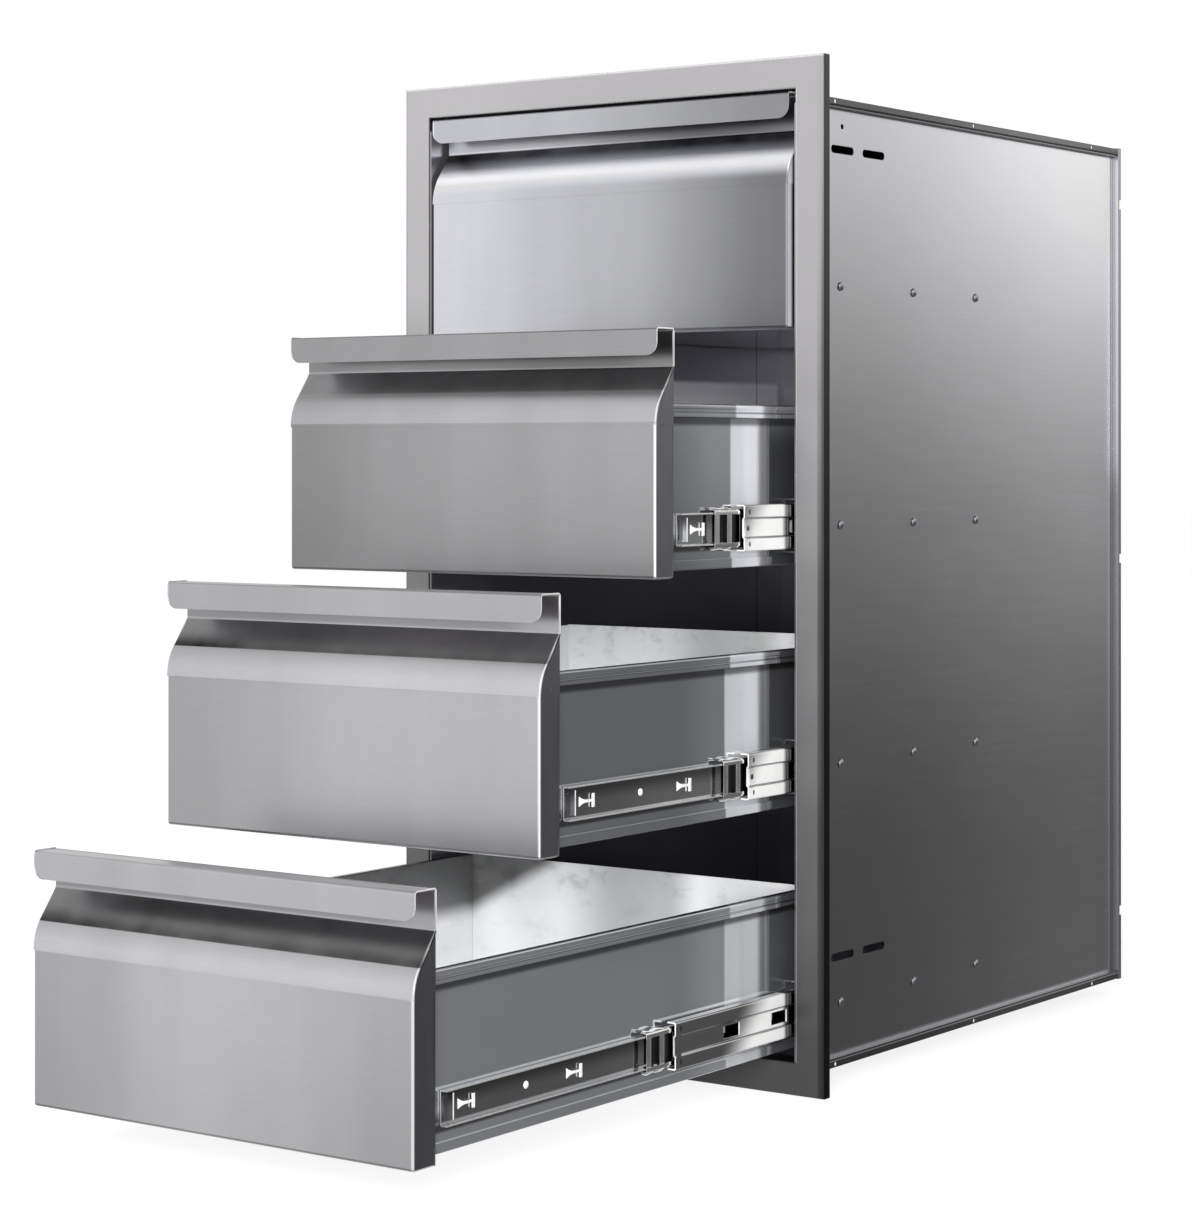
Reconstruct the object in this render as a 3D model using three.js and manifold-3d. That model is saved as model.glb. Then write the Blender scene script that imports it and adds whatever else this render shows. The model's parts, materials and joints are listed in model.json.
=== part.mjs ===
// Built-in outdoor kitchen drawer unit: four drawers behind a flat trim frame.
// Units are millimetres. +X is to the right seen from the front, +Y goes into the island, +Z is up.
// The origin lies on the rear bearing face of the trim frame, at the middle of its bottom hem.
import * as THREE from 'three';
import { mergeVertices } from 'three/addons/utils/BufferGeometryUtils.js';
import Module from 'manifold-3d';

const wasm = await Module();
wasm.setup();

// Trim frame
const frameWidth = 444;
const frameHeight = 870;
const frameRail = 27.5;
const frameDepth = 12;
const frameSheet = 1.2;
const frameHem = 10;
const frameFold = 1.4;
const throatDepth = 26.5;

// Cabinet behind the frame
const cabinetSheet = 1;
const cabinetDepth = 600;
const cabinetTopDrop = 36;
const cabinetBottomRise = 21;
const panelOverhang = 6;
const lipHeight = 6.5;
const lipHole = 4;
const lipHoleShares = [0.075, 0.487, 0.892];
const attachFlange = 11;
const panelFold = 1;
const sideFlange = 5.6;
const cornerNotch = 2;
const rearNotchHeight = 9;
const rearNotchPlaces = [68, 418, 770];

// Slots and holes in the side panels
const slotLength = 38;
const slotHeight = 7;
const slotFirst = 66.5;
const slotPitch = 53;
const slotTopDrop = 37;
const slotBottomRise = 86;
const pilotHole = 5;
const pilotDrop = 17;
const pilotPlace = 66;

// Drawer fronts
const drawerCount = 4;
const frontSideGap = 5.5;
const frontEndGap = 2.5;
const frontGap = 6;
const frontDepth = 26;
const frontSheet = 1.2;
const frontProud = 3;
const frontFold = 1.4;
const flatDrop = 76;
const browRadius = 40;
const browAngle = 38;
const lipDrop = 21.5;
const lipSetback = 2;
const lipCorner = 10.5;
const frontHem = 14;
const frontOpenings = [0, 197, 351, 502];

// Drawer boxes
const boxSheet = 1;
const boxLength = 525;
const boxRise = 5.5;
const boxTopDrop = 59;
const rimOut = 5.5;
const rimDown = 11;
const boxBend = 1.2;
const panFlange = 8;
const linerLap = 8;

// Ball-bearing slides, measured from the wall that carries them
const slideThickness = 12.7;
const slideSheet = 1.2;
const slideLength = 500;
const outerStart = 2;
const innerStart = 14.5;
const slideRise = 38;
const innerHeight = 26.4;
const innerReach = 5.6;
const middleHeight = 38;
const middleLength = 400;
const middleGap = 0.3;
const middleReach = 7.4;
const middleCrease = 14.5;
const middleStep = 1.4;
const outerHeight = 46;
const outerReach = 9.6;
const slideFold = 1;
const slideFoldSteps = 2;
const middleFronts = [13.5, -85, -79, -187];

// Details of the inner member: a stop lug at its front, two lanced hooks and a button
const lug = { length: 12, height: 19.5, rise: 2.5 };
const hookPlaces = [19.5, 154];
const hook = { length: 20, fan: 8, waist: 2.6, waistStart: 7, bar: 3, barHeight: 10.5, rise: 1.6 };
const button = { place: 102.5, size: 6, rise: 1.2 };

// Windows of the middle member
const windowPlaces = [84, 157];
const window = { length: 24, height: 10.5 };

// Ball cages between the inner and the middle member
const ballRunning = 0.15;
const cageSheet = 0.6;
const cageLength = 230;
const cageReach = 5.6;
const cageWebGap = 0.5;
const cageLeads = [-89, 40, 33, 36.5];
const cageRim = 4;
const cageRung = 5;
const cageWindow = 15;
const cageWindows = 2;
const ballCount = 3;

// Rivets that hold the outer members to the side panels
const rivetPlaces = [63, 190, 306];
const rivetShank = 4;
const rivetHead = 8;
const rivetHeadHeight = 2.4;
const rivetCrownShare = 0.75;

// Clearances, and the overrun of every cut
const seat = 0.3;
const rivetRoom = 1;
const over = 2;

// Facets
const bendSteps = 3;
const holeSteps = 4;
const rivetSides = 8;
const slotSteps = 3;
const browSteps = 8;
const cornerSteps = 4;
const ballSegments = 6;
const ballRings = 4;
const weld = 1e-4;

// Heights and planes that follow from the sizes above
const frameBottom = -frameHem / 2;
const frameTop = frameBottom + frameHeight;
const openingHalf = frameWidth / 2 - frameRail;
const openingBottom = frameBottom + frameRail;
const openingTop = frameTop - frameRail;
const faceFront = -frameDepth;
const throatEnd = faceFront + throatDepth;
const sideOuter = openingHalf - seat;
const sideInner = sideOuter - cabinetSheet;
const cabinetTop = frameTop - cabinetTopDrop;
const cabinetBottom = frameBottom + cabinetBottomRise;
const backPlane = cabinetDepth - lipHeight;
const panelHalf = sideOuter + panelOverhang;
const panelStart = throatEnd + seat;
const openingHeight = openingTop - openingBottom;
const frontWidth = 2 * (openingHalf - frontSideGap);
const frontHeight = (openingHeight - 2 * frontEndGap - (drawerCount - 1) * frontGap) / drawerCount;
const frontPitch = frontHeight + frontGap;
const firstFront = openingBottom + frontEndGap;
const frontPlane = faceFront - frontProud;
const boxHalf = sideInner - slideThickness;
const boxTop = frontHeight - boxTopDrop;

// Solids from geometry, and back
function solidOf(geometry) {
  const bare = geometry.clone();
  bare.deleteAttribute('normal');
  bare.deleteAttribute('uv');
  const merged = mergeVertices(bare, weld);
  const mesh = new wasm.Mesh({
    numProp: 3,
    vertProperties: new Float32Array(merged.attributes.position.array),
    triVerts: new Uint32Array(merged.index.array),
  });
  return new wasm.Manifold(mesh);
}

function geometryOf(solid) {
  const mesh = solid.getMesh();
  const geometry = new THREE.BufferGeometry();
  geometry.setAttribute('position', new THREE.BufferAttribute(new Float32Array(mesh.vertProperties), 3));
  geometry.setIndex(new THREE.BufferAttribute(new Uint32Array(mesh.triVerts), 1));
  geometry.computeVertexNormals();
  return geometry;
}

const join = (solids) => solids.reduce((sum, solid) => sum.add(solid));
const cut = (solid, tools) => tools.reduce((rest, tool) => rest.subtract(tool), solid);

// A block between two corners
function block([x0, x1], [y0, y1], [z0, z1]) {
  const geometry = new THREE.BoxGeometry(x1 - x0, y1 - y0, z1 - z0);
  geometry.translate((x0 + x1) / 2, (y0 + y1) / 2, (z0 + z1) / 2);
  return solidOf(geometry);
}

// An outline drawn in the YZ plane and drawn out along X
function alongX(outline, [x0, x1]) {
  const depth = x1 - x0;
  const geometry = new THREE.ExtrudeGeometry(new THREE.Shape(outline), { depth, bevelEnabled: false });
  geometry.applyMatrix4(new THREE.Matrix4().set(0, 0, 1, x0, 1, 0, 0, 0, 0, 1, 0, 0, 0, 0, 0, 1));
  return solidOf(geometry);
}

// An outline drawn in the XZ plane and drawn out along Y
function alongY(outline, [y0, y1]) {
  const depth = y1 - y0;
  const geometry = new THREE.ExtrudeGeometry(new THREE.Shape(outline), { depth, bevelEnabled: false });
  geometry.rotateX(Math.PI / 2);
  geometry.translate(0, y1, 0);
  return solidOf(geometry);
}

// Outlines: a circle, a slot with round ends, and a folded strip of sheet round its middle line
function circle(a, b, diameter) {
  const path = new THREE.Path();
  path.absarc(a, b, diameter / 2, 0, 2 * Math.PI, false);
  return path.getPoints(holeSteps).slice(0, -1);
}

function slot(a, b, length, height) {
  const path = new THREE.Path();
  const straight = (length - height) / 2;
  path.absarc(a + straight, b, height / 2, -Math.PI / 2, Math.PI / 2, false);
  path.absarc(a - straight, b, height / 2, Math.PI / 2, 1.5 * Math.PI, false);
  const points = path.getPoints(slotSteps);
  return points.filter((point, i) => i === 0 || point.distanceTo(points[i - 1]) > 0);
}

function strip(corners, thickness, fold, foldSteps = bendSteps) {
  const places = corners.map(([a, b]) => new THREE.Vector2(a, b));
  const rail = [];
  const sideways = (from, to) => {
    const way = to.clone().sub(from).normalize();
    return new THREE.Vector2(-way.y, way.x);
  };
  places.forEach((place, i) => {
    if (i === 0 || i === places.length - 1) {
      const [from, to] = i === 0 ? [place, places[1]] : [places[i - 1], place];
      rail.push([place, sideways(from, to)]);
      return;
    }
    const [, , radius = fold, steps = foldSteps] = corners[i];
    const normalIn = sideways(places[i - 1], place);
    const normalOut = sideways(place, places[i + 1]);
    const turn = Math.atan2(normalIn.cross(normalOut), normalIn.dot(normalOut));
    const toCentre = radius * Math.sign(turn);
    const setback = radius * Math.tan(Math.abs(turn) / 2);
    const wayIn = place.clone().sub(places[i - 1]).normalize();
    const start = place.clone().sub(wayIn.multiplyScalar(setback));
    const centre = start.clone().add(normalIn.clone().multiplyScalar(toCentre));
    for (let k = 0; k <= steps; k += 1) {
      const normal = normalIn.clone().rotateAround(new THREE.Vector2(), (turn * k) / steps);
      rail.push([centre.clone().sub(normal.clone().multiplyScalar(toCentre)), normal]);
    }
  });
  const moved = ([place, normal], half) => place.clone().add(normal.clone().multiplyScalar(half));
  const offset = (half) => rail.map((point) => moved(point, half));
  return [...offset(-thickness / 2), ...offset(thickness / 2).reverse()];
}

// The same solid on the other side of the unit
function mirrored(solid) {
  const geometry = geometryOf(solid);
  geometry.scale(-1, 1, 1);
  const order = geometry.index.array;
  for (let i = 0; i < order.length; i += 3) {
    [order[i], order[i + 1]] = [order[i + 1], order[i]];
  }
  return solidOf(geometry);
}

// Finishes, from the photograph
const finishes = {
  brushed: { color: 0xa9a8a8, roughness: 0.36, metalness: 1 },
  frame: { color: 0x9f9ca2, roughness: 0.4, metalness: 1 },
  panel: { color: 0xa4a5a5, roughness: 0.42, metalness: 1 },
  liner: { color: 0xd4d8da, roughness: 0.3, metalness: 1 },
  box: { color: 0x85898c, roughness: 0.34, metalness: 1 },
  zinc: { color: 0xcfd0ce, roughness: 0.28, metalness: 1 },
  cage: { color: 0xb9b8b2, roughness: 0.3, metalness: 1 },
};

function piece(name, solid, finish) {
  const material = new THREE.MeshStandardMaterial(finishes[finish]);
  material.name = finish;
  const mesh = new THREE.Mesh(geometryOf(solid), material);
  mesh.name = name;
  return mesh;
}

// The trim frame: one folded profile carried round a rectangle, with mitred corners.
// The profile is drawn by its distance in from the outer edge and its Y: hem, outer return,
// face and throat.
function trimFrame() {
  const half = frameSheet / 2;
  const profile = strip(
    [
      [frameHem, -half],
      [half, -half],
      [half, faceFront + half],
      [frameRail - half, faceFront + half],
      [frameRail - half, throatEnd],
    ],
    frameSheet,
    frameFold,
  );
  const corners = [
    [-1, -1],
    [1, -1],
    [1, 1],
    [-1, 1],
  ];
  const middle = (frameBottom + frameTop) / 2;
  const positions = corners.flatMap(([sideX, sideZ]) => profile.flatMap((point) => [
    sideX * (frameWidth / 2 - point.x),
    point.y,
    middle + sideZ * (frameHeight / 2 - point.x),
  ]));
  const count = profile.length;
  const faces = corners.flatMap((unused, corner) => profile.flatMap((point, i) => {
    const here = corner * count;
    const next = ((corner + 1) % corners.length) * count;
    const j = (i + 1) % count;
    return [here + i, next + j, here + j, here + i, next + i, next + j];
  }));
  const geometry = new THREE.BufferGeometry();
  geometry.setAttribute('position', new THREE.Float32BufferAttribute(positions, 3));
  geometry.setIndex(faces);
  return solidOf(geometry);
}

// A cabinet panel that overhangs the sides, with a lip turned away from the box along each side
// and a flange at its front that backs onto the throat of the trim frame
function lippedPanel(away, inside) {
  const tip = inside + away * lipHeight;
  const middle = inside + (away * cabinetSheet) / 2;
  const edge = panelHalf - cabinetSheet / 2;
  const outline = strip(
    [
      [-edge, tip],
      [-edge, middle],
      [edge, middle],
      [edge, tip],
    ],
    cabinetSheet,
    panelFold,
  );
  const tray = alongY(away > 0 ? outline : outline.reverse(), [panelStart, backPlane - seat]);
  const lipMiddle = inside + (away * (lipHeight + cabinetSheet)) / 2;
  const holes = lipHoleShares.map((share) => alongX(
    circle(share * cabinetDepth, lipMiddle, lipHole),
    [-panelHalf - over, panelHalf + over],
  ));
  const flange = block(
    [-openingHalf, openingHalf],
    [panelStart, panelStart + cabinetSheet],
    [Math.min(inside, inside + away * attachFlange), Math.max(inside, inside + away * attachFlange)],
  );
  return join([cut(tray, holes), flange]);
}

function sidePanel() {
  const bottom = cabinetBottom + cabinetSheet + seat;
  const top = cabinetTop - cabinetSheet - seat;
  const front = faceFront + frameSheet + seat;
  const end = backPlane - seat;
  const wallFold = sideOuter - cabinetSheet / 2;
  const foldTip = sideOuter + sideFlange;
  const folded = strip(
    [
      [foldTip, bottom + cabinetSheet / 2],
      [wallFold, bottom + cabinetSheet / 2],
      [wallFold, top - cabinetSheet / 2],
      [foldTip, top - cabinetSheet / 2],
    ],
    cabinetSheet,
    boxBend,
  );
  const box = alongY(folded, [panelStart, end]);
  const tongue = block(
    [sideInner, sideOuter],
    [front, panelStart + over],
    [openingBottom + seat, top - cabinetSheet - boxBend],
  );
  const throughWall = [sideInner - over, sideOuter + over];
  const slots = [cabinetTop - slotTopDrop, cabinetBottom + slotBottomRise].flatMap((z) => (
    [slotFirst, slotFirst + slotPitch].map((y) => alongX(slot(y, z, slotLength, slotHeight), throughWall))
  ));
  const pilot = alongX(circle(pilotPlace, cabinetTop - pilotDrop, pilotHole), throughWall);
  const rivetHoles = slideHeights().flatMap((z) => (
    rivetPlaces.map((y) => alongX(circle(y, z, rivetShank + rivetRoom), throughWall))
  ));
  return cut(join([box, tongue]), [...slots, pilot, ...rivetHoles]);
}

function backPanel() {
  const bottom = cabinetBottom - lipHeight;
  const top = cabinetTop + lipHeight;
  const plate = block([-panelHalf, panelHalf], [backPlane, backPlane + cabinetSheet], [bottom, top]);
  const rim = block([-panelHalf, panelHalf], [backPlane, cabinetDepth], [bottom, top]).subtract(block(
    [-panelHalf + cabinetSheet, panelHalf - cabinetSheet],
    [backPlane - over, cabinetDepth + over],
    [bottom + cabinetSheet, top - cabinetSheet],
  ));
  const notches = rearNotchPlaces.map((place) => block(
    [-panelHalf - over, panelHalf + over],
    [backPlane + cabinetSheet + cornerNotch, cabinetDepth + over],
    [bottom + place - rearNotchHeight / 2, bottom + place + rearNotchHeight / 2],
  ));
  return join([plate, cut(rim, notches)]);
}

// Height of each slide's middle line, from the top drawer down
function frontBottoms() {
  const places = Array.from({ length: drawerCount }, (unused, i) => drawerCount - 1 - i);
  return places.map((above) => firstFront + above * frontPitch);
}

function slideHeights() {
  return frontBottoms().map((bottom) => bottom + slideRise);
}

// Drawer front, in its own frame: Y from its face, Z from its bottom edge.
// One sheet: rear hem, bottom, flat face, rounded brow, slope back to the neck, top and grip lip.
const flatTop = frontHeight - flatDrop;
const browTurn = THREE.MathUtils.degToRad(browAngle);
const browCorner = flatTop + browRadius * Math.tan(browTurn / 2);
const neckFoot = browCorner + (frontDepth - frontSheet) / Math.tan(browTurn);

function drawerFront() {
  const half = frontWidth / 2;
  const middle = frontSheet / 2;
  const rear = frontDepth - middle;
  const brow = browRadius - middle;
  const corner = browCorner - middle * Math.tan(browTurn / 2);
  const foot = corner + (rear - middle) / Math.tan(browTurn);
  const skin = strip(
    [
      [rear, frontHem],
      [rear, middle],
      [middle, middle],
      [middle, corner, brow, browSteps],
      [rear, foot],
      [rear, frontHeight - middle],
      [lipSetback + middle, frontHeight - middle],
      [lipSetback + middle, frontHeight - lipDrop],
    ],
    frontSheet,
    frontFold,
  );
  const sheet = alongX(skin, [-half, half]);
  const lipDepth = [-over, lipSetback + frontSheet + over];
  const lipEnds = [-1, 1].map((side) => alongY(lipCutter(side, half), lipDepth));
  const browArc = Array.from({ length: browSteps + 1 }, (unused, i) => {
    const turn = (browTurn * i) / browSteps;
    return new THREE.Vector2(browRadius - brow * Math.cos(turn), flatTop + brow * Math.sin(turn));
  });
  const cheekOutline = [
    new THREE.Vector2(middle, middle),
    ...browArc,
    new THREE.Vector2(rear, foot),
    new THREE.Vector2(rear, middle),
  ];
  const cheek = alongX(cheekOutline, [half - frontSheet, half]);
  const hemDepth = [frontDepth - frontSheet, frontDepth];
  const hem = block([half - frontHem, half], hemDepth, [middle, foot - frontFold]);
  return join([cut(sheet, lipEnds), cheek, mirrored(cheek), hem, mirrored(hem)]);
}

// What is cut off each end of the grip lip, which leaves its lower corner round
function lipCutter(side, half) {
  const bottom = frontHeight - lipDrop;
  const centre = [side * (half - lipCorner), bottom + lipCorner];
  const path = new THREE.Path();
  path.moveTo(side * (half + over), bottom + lipCorner);
  path.lineTo(side * half, bottom + lipCorner);
  path.absarc(centre[0], centre[1], lipCorner, side > 0 ? 0 : Math.PI, 1.5 * Math.PI, side > 0);
  path.lineTo(centre[0], bottom - over);
  path.lineTo(side * (half + over), bottom - over);
  const points = path.getPoints(cornerSteps);
  return points.filter((point, i) => i === 0 || point.distanceTo(points[i - 1]) > 0);
}

// Drawer box, in the same frame as its front
const boxStart = frontDepth + seat;
const boxEnd = boxStart + boxLength;

function boxSide() {
  const wall = boxHalf - boxSheet / 2;
  const outline = strip(
    [
      [wall, boxRise + boxSheet + seat],
      [wall, boxTop - boxSheet / 2],
      [wall + rimOut, boxTop - boxSheet / 2],
      [wall + rimOut, boxTop - rimDown],
    ],
    boxSheet,
    boxBend,
  );
  return alongY(outline, [boxStart, boxEnd]);
}

// The inner front wall rises above the sides and closes the back of the drawer front up to its neck
function boxFront() {
  const half = boxHalf - boxSheet - seat;
  const height = [boxRise + boxSheet + seat, neckFoot + linerLap];
  return block([-half, half], [boxStart, boxStart + boxSheet], height);
}

// The pan is the floor of the box: its edges fold up outside the sides and its rear folds up as the back
function boxPan() {
  const half = boxHalf + seat + boxSheet;
  const floor = alongY(
    strip(
      [
        [-half + boxSheet / 2, boxRise + panFlange],
        [-half + boxSheet / 2, boxRise + boxSheet / 2],
        [half - boxSheet / 2, boxRise + boxSheet / 2],
        [half - boxSheet / 2, boxRise + panFlange],
      ],
      boxSheet,
      boxSheet / 2,
    ),
    [boxStart, boxEnd],
  );
  const backHalf = boxHalf - boxSheet - seat;
  const back = block([-backHalf, backHalf], [boxEnd - boxSheet, boxEnd], [boxRise, boxTop]);
  return join([floor, back]);
}

// Slide members, on the right-hand side. Z is measured from the slide's middle line.
// Each is a channel: a web, and two edges folded towards the next member.
const innerWeb = boxHalf + seat + slideSheet / 2;
const outerWeb = sideInner - seat - slideSheet / 2;
const middleWeb = outerWeb - slideSheet - middleGap;

function channel(web, reach, height) {
  const edge = height / 2 - slideSheet / 2;
  return [
    [web + reach, -edge],
    [web, -edge],
    [web, edge],
    [web + reach, edge],
  ];
}

function slideInner() {
  const start = frontDepth + innerStart;
  const outline = strip(channel(innerWeb, innerReach, innerHeight), slideSheet, slideFold, slideFoldSteps);
  const member = alongY(outline, [start, start + slideLength]);
  const face = innerWeb + slideSheet / 2;
  const lugHeight = [-lug.height / 2, lug.height / 2];
  const stop = block([innerWeb, face + lug.rise], [start, start + lug.length], lugHeight);
  const hookDepth = [innerWeb, face + hook.rise];
  const hooks = hookPlaces.map((place) => alongX(hookOutline(start + place), hookDepth));
  const stud = alongX(circle(start + button.place, 0, button.size), [innerWeb, face + button.rise]);
  return join([member, stop, ...hooks, stud]);
}

// A lanced hook: a fan that narrows to a waist and ends in an upright bar
function hookOutline(start) {
  const end = start + hook.length;
  const half = [
    [start, hook.fan / 2],
    [start + hook.waistStart, hook.waist / 2],
    [end - hook.bar, hook.waist / 2],
    [end - hook.bar, hook.barHeight / 2],
    [end, hook.barHeight / 2],
  ];
  const lower = half.map(([y, z]) => [y, -z]).reverse();
  return [...half, ...lower].map(([y, z]) => new THREE.Vector2(y, z));
}

// The middle member's web is stepped towards the drawer between two creases, and has windows
function slideMiddle() {
  const edge = middleHeight / 2 - slideSheet / 2;
  const crease = middleCrease / 2;
  const outline = strip(
    [
      [middleWeb - middleReach, -edge],
      [middleWeb, -edge],
      [middleWeb, -crease - middleStep],
      [middleWeb - middleStep, -crease],
      [middleWeb - middleStep, crease],
      [middleWeb, crease + middleStep],
      [middleWeb, edge],
      [middleWeb - middleReach, edge],
    ],
    slideSheet,
    slideFold,
    slideFoldSteps,
  );
  const windows = windowPlaces.map((place) => block(
    [middleWeb - middleStep - slideSheet, middleWeb + slideSheet],
    [place - window.length / 2, place + window.length / 2],
    [-window.height / 2, window.height / 2],
  ));
  return cut(alongY(outline, [0, middleLength]), windows);
}

function rivet() {
  const crown = rivetHead * rivetCrownShare;
  const grip = slideSheet / 2 + seat + cabinetSheet + seat;
  const profile = [
    new THREE.Vector2(0, 0),
    new THREE.Vector2(rivetShank / 2, 0),
    new THREE.Vector2(rivetShank / 2, grip),
    new THREE.Vector2(rivetHead / 2, grip),
    new THREE.Vector2(crown / 2, grip + rivetHeadHeight),
    new THREE.Vector2(0, grip + rivetHeadHeight),
  ];
  const geometry = new THREE.LatheGeometry(profile, rivetSides);
  geometry.rotateZ(-Math.PI / 2);
  return geometry;
}

function slideOuter() {
  const start = frontPlane + frontDepth + outerStart;
  const outline = strip(channel(outerWeb, -outerReach, outerHeight), slideSheet, slideFold, slideFoldSteps);
  const member = alongY(outline, [start, start + slideLength]);
  const rivets = rivetPlaces.map((y) => {
    const geometry = rivet();
    geometry.translate(outerWeb, y, 0);
    return solidOf(geometry);
  });
  return join([member, ...rivets]);
}

// Ball cage: a ladder of rungs, two rims, and the balls that the rims hold
const ballTrack = middleHeight / 2 - slideSheet - innerHeight / 2;
const ballDiameter = ballTrack - 2 * ballRunning;
const ballHeight = innerHeight / 2 + ballTrack / 2;
const cageWeb = middleWeb - middleStep - slideSheet / 2 - cageWebGap - cageSheet / 2;

function ballCage() {
  const outline = strip(
    [
      [cageWeb - cageReach, -ballHeight],
      [cageWeb, -ballHeight],
      [cageWeb, ballHeight],
      [cageWeb - cageReach, ballHeight],
    ],
    cageSheet,
    cageSheet / 2,
    1,
  );
  const web = alongY(outline, [0, cageLength]);
  const opening = ([from, to]) => block(
    [cageWeb - cageSheet, cageWeb + cageSheet],
    [from, to],
    [-ballHeight + cageRim, ballHeight - cageRim],
  );
  const front = Array.from({ length: cageWindows }, (unused, i) => {
    const start = cageRung + i * (cageWindow + cageRung);
    return [start, start + cageWindow];
  });
  const rest = [front[cageWindows - 1][1] + cageRung, cageLength - cageRung];
  const pitch = (rest[1] - rest[0]) / ballCount;
  const balls = [-1, 1].flatMap((side) => Array.from({ length: ballCount }, (unused, i) => {
    const ball = new THREE.SphereGeometry(ballDiameter / 2, ballSegments, ballRings);
    ball.translate(cageWeb - cageReach / 2, rest[0] + pitch * (i + 0.5), side * ballHeight);
    return solidOf(ball);
  }));
  return join([cut(web, [...front, rest].map(opening)), ...balls]);
}

// The assembly
const unit = new THREE.Group();
unit.name = 'drawer_unit';

const wall = sidePanel();
unit.add(
  piece('trim_frame', trimFrame(), 'frame'),
  piece('side_panel_right', wall, 'panel'),
  piece('side_panel_left', mirrored(wall), 'panel'),
  piece('top_panel', lippedPanel(1, cabinetTop - cabinetSheet), 'panel'),
  piece('bottom_panel', lippedPanel(-1, cabinetBottom + cabinetSheet), 'panel'),
  piece('back_panel', backPanel(), 'panel'),
);

const front = drawerFront();
const liner = boxFront();
const pan = boxPan();
const pairs = {
  box_side: boxSide(),
  slide_inner: slideInner(),
  slide_middle: slideMiddle(),
  slide_outer: slideOuter(),
  ball_cage: ballCage(),
};

function addPair(group, drawer, kind, finish) {
  group.add(
    piece(`${drawer}_${kind}_right`, pairs[kind], finish),
    piece(`${drawer}_${kind}_left`, mirrored(pairs[kind]), finish),
  );
}

frontBottoms().forEach((bottom, i) => {
  const drawer = `drawer_${i + 1}`;
  const opening = frontOpenings[i];

  const body = new THREE.Group();
  body.position.set(0, frontPlane - opening, bottom);
  body.add(
    piece(`${drawer}_front`, front, 'brushed'),
    piece(`${drawer}_box_front`, liner, 'liner'),
    piece(`${drawer}_box_pan`, pan, 'liner'),
  );
  addPair(body, drawer, 'box_side', 'box');
  const rails = new THREE.Group();
  rails.position.set(0, 0, slideRise);
  addPair(rails, drawer, 'slide_inner', 'zinc');
  body.add(rails);

  const fixed = new THREE.Group();
  fixed.position.set(0, 0, bottom + slideRise);
  addPair(fixed, drawer, 'slide_outer', 'zinc');

  const carriage = new THREE.Group();
  carriage.position.set(0, middleFronts[i], bottom + slideRise);
  addPair(carriage, drawer, 'slide_middle', 'zinc');

  const cages = new THREE.Group();
  cages.position.set(0, middleFronts[i] - cageLeads[i], bottom + slideRise);
  addPair(cages, drawer, 'ball_cage', 'cage');

  unit.add(body, fixed, carriage, cages);
});

export default unit;
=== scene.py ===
"""Outdoor kitchen drawer unit: the finished look of the four-drawer stainless steel unit."""

import json

import bmesh
import bpy
import numpy as np
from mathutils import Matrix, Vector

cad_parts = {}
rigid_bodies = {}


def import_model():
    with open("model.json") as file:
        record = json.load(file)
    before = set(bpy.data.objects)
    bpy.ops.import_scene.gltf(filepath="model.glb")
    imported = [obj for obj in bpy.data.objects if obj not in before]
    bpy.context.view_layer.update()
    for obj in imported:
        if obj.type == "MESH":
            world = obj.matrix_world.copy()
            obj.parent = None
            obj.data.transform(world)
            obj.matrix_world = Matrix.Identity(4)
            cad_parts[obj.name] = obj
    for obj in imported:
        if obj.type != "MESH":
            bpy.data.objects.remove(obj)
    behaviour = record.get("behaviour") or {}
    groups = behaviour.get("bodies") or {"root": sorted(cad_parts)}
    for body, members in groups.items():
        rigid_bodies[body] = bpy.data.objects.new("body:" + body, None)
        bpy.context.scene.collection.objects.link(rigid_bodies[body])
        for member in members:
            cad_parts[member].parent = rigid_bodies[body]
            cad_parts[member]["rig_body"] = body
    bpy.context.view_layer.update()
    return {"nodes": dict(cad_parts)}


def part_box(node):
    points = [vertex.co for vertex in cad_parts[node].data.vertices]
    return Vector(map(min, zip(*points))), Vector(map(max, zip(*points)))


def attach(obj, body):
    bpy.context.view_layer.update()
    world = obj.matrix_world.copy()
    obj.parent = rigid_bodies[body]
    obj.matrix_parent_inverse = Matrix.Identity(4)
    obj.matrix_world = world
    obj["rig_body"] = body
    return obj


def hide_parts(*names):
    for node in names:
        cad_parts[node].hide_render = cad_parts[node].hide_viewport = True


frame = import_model()
scene = bpy.context.scene
scene.view_settings.view_transform = "Standard"

# Camera: a long lens on a stand in front of the unit and to its right, level with the second
# drawer. The lens is shifted a little, as the unit stands high and left in the picture.
picture_width, picture_height = 1192, 1208
eye = (1.53525, -2.20944, 0.53264)
heading, tilt = np.radians(36.31), np.radians(0.09)
lens_in_pixels = 3067.41
principal = (530.8, 447.95)

lens = bpy.data.cameras.new("Studio camera")
lens.sensor_width = 36
lens.lens = lens.sensor_width * lens_in_pixels / picture_height
lens.shift_x = (picture_width / 2 - principal[0]) / picture_height
lens.shift_y = (principal[1] - picture_height / 2) / picture_height
lens.clip_end = 100
camera = bpy.data.objects.new("Studio camera", lens)
camera.location = eye
camera.rotation_euler = (np.pi / 2 + tilt, 0, heading)
scene.collection.objects.link(camera)
scene.camera = camera


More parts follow.
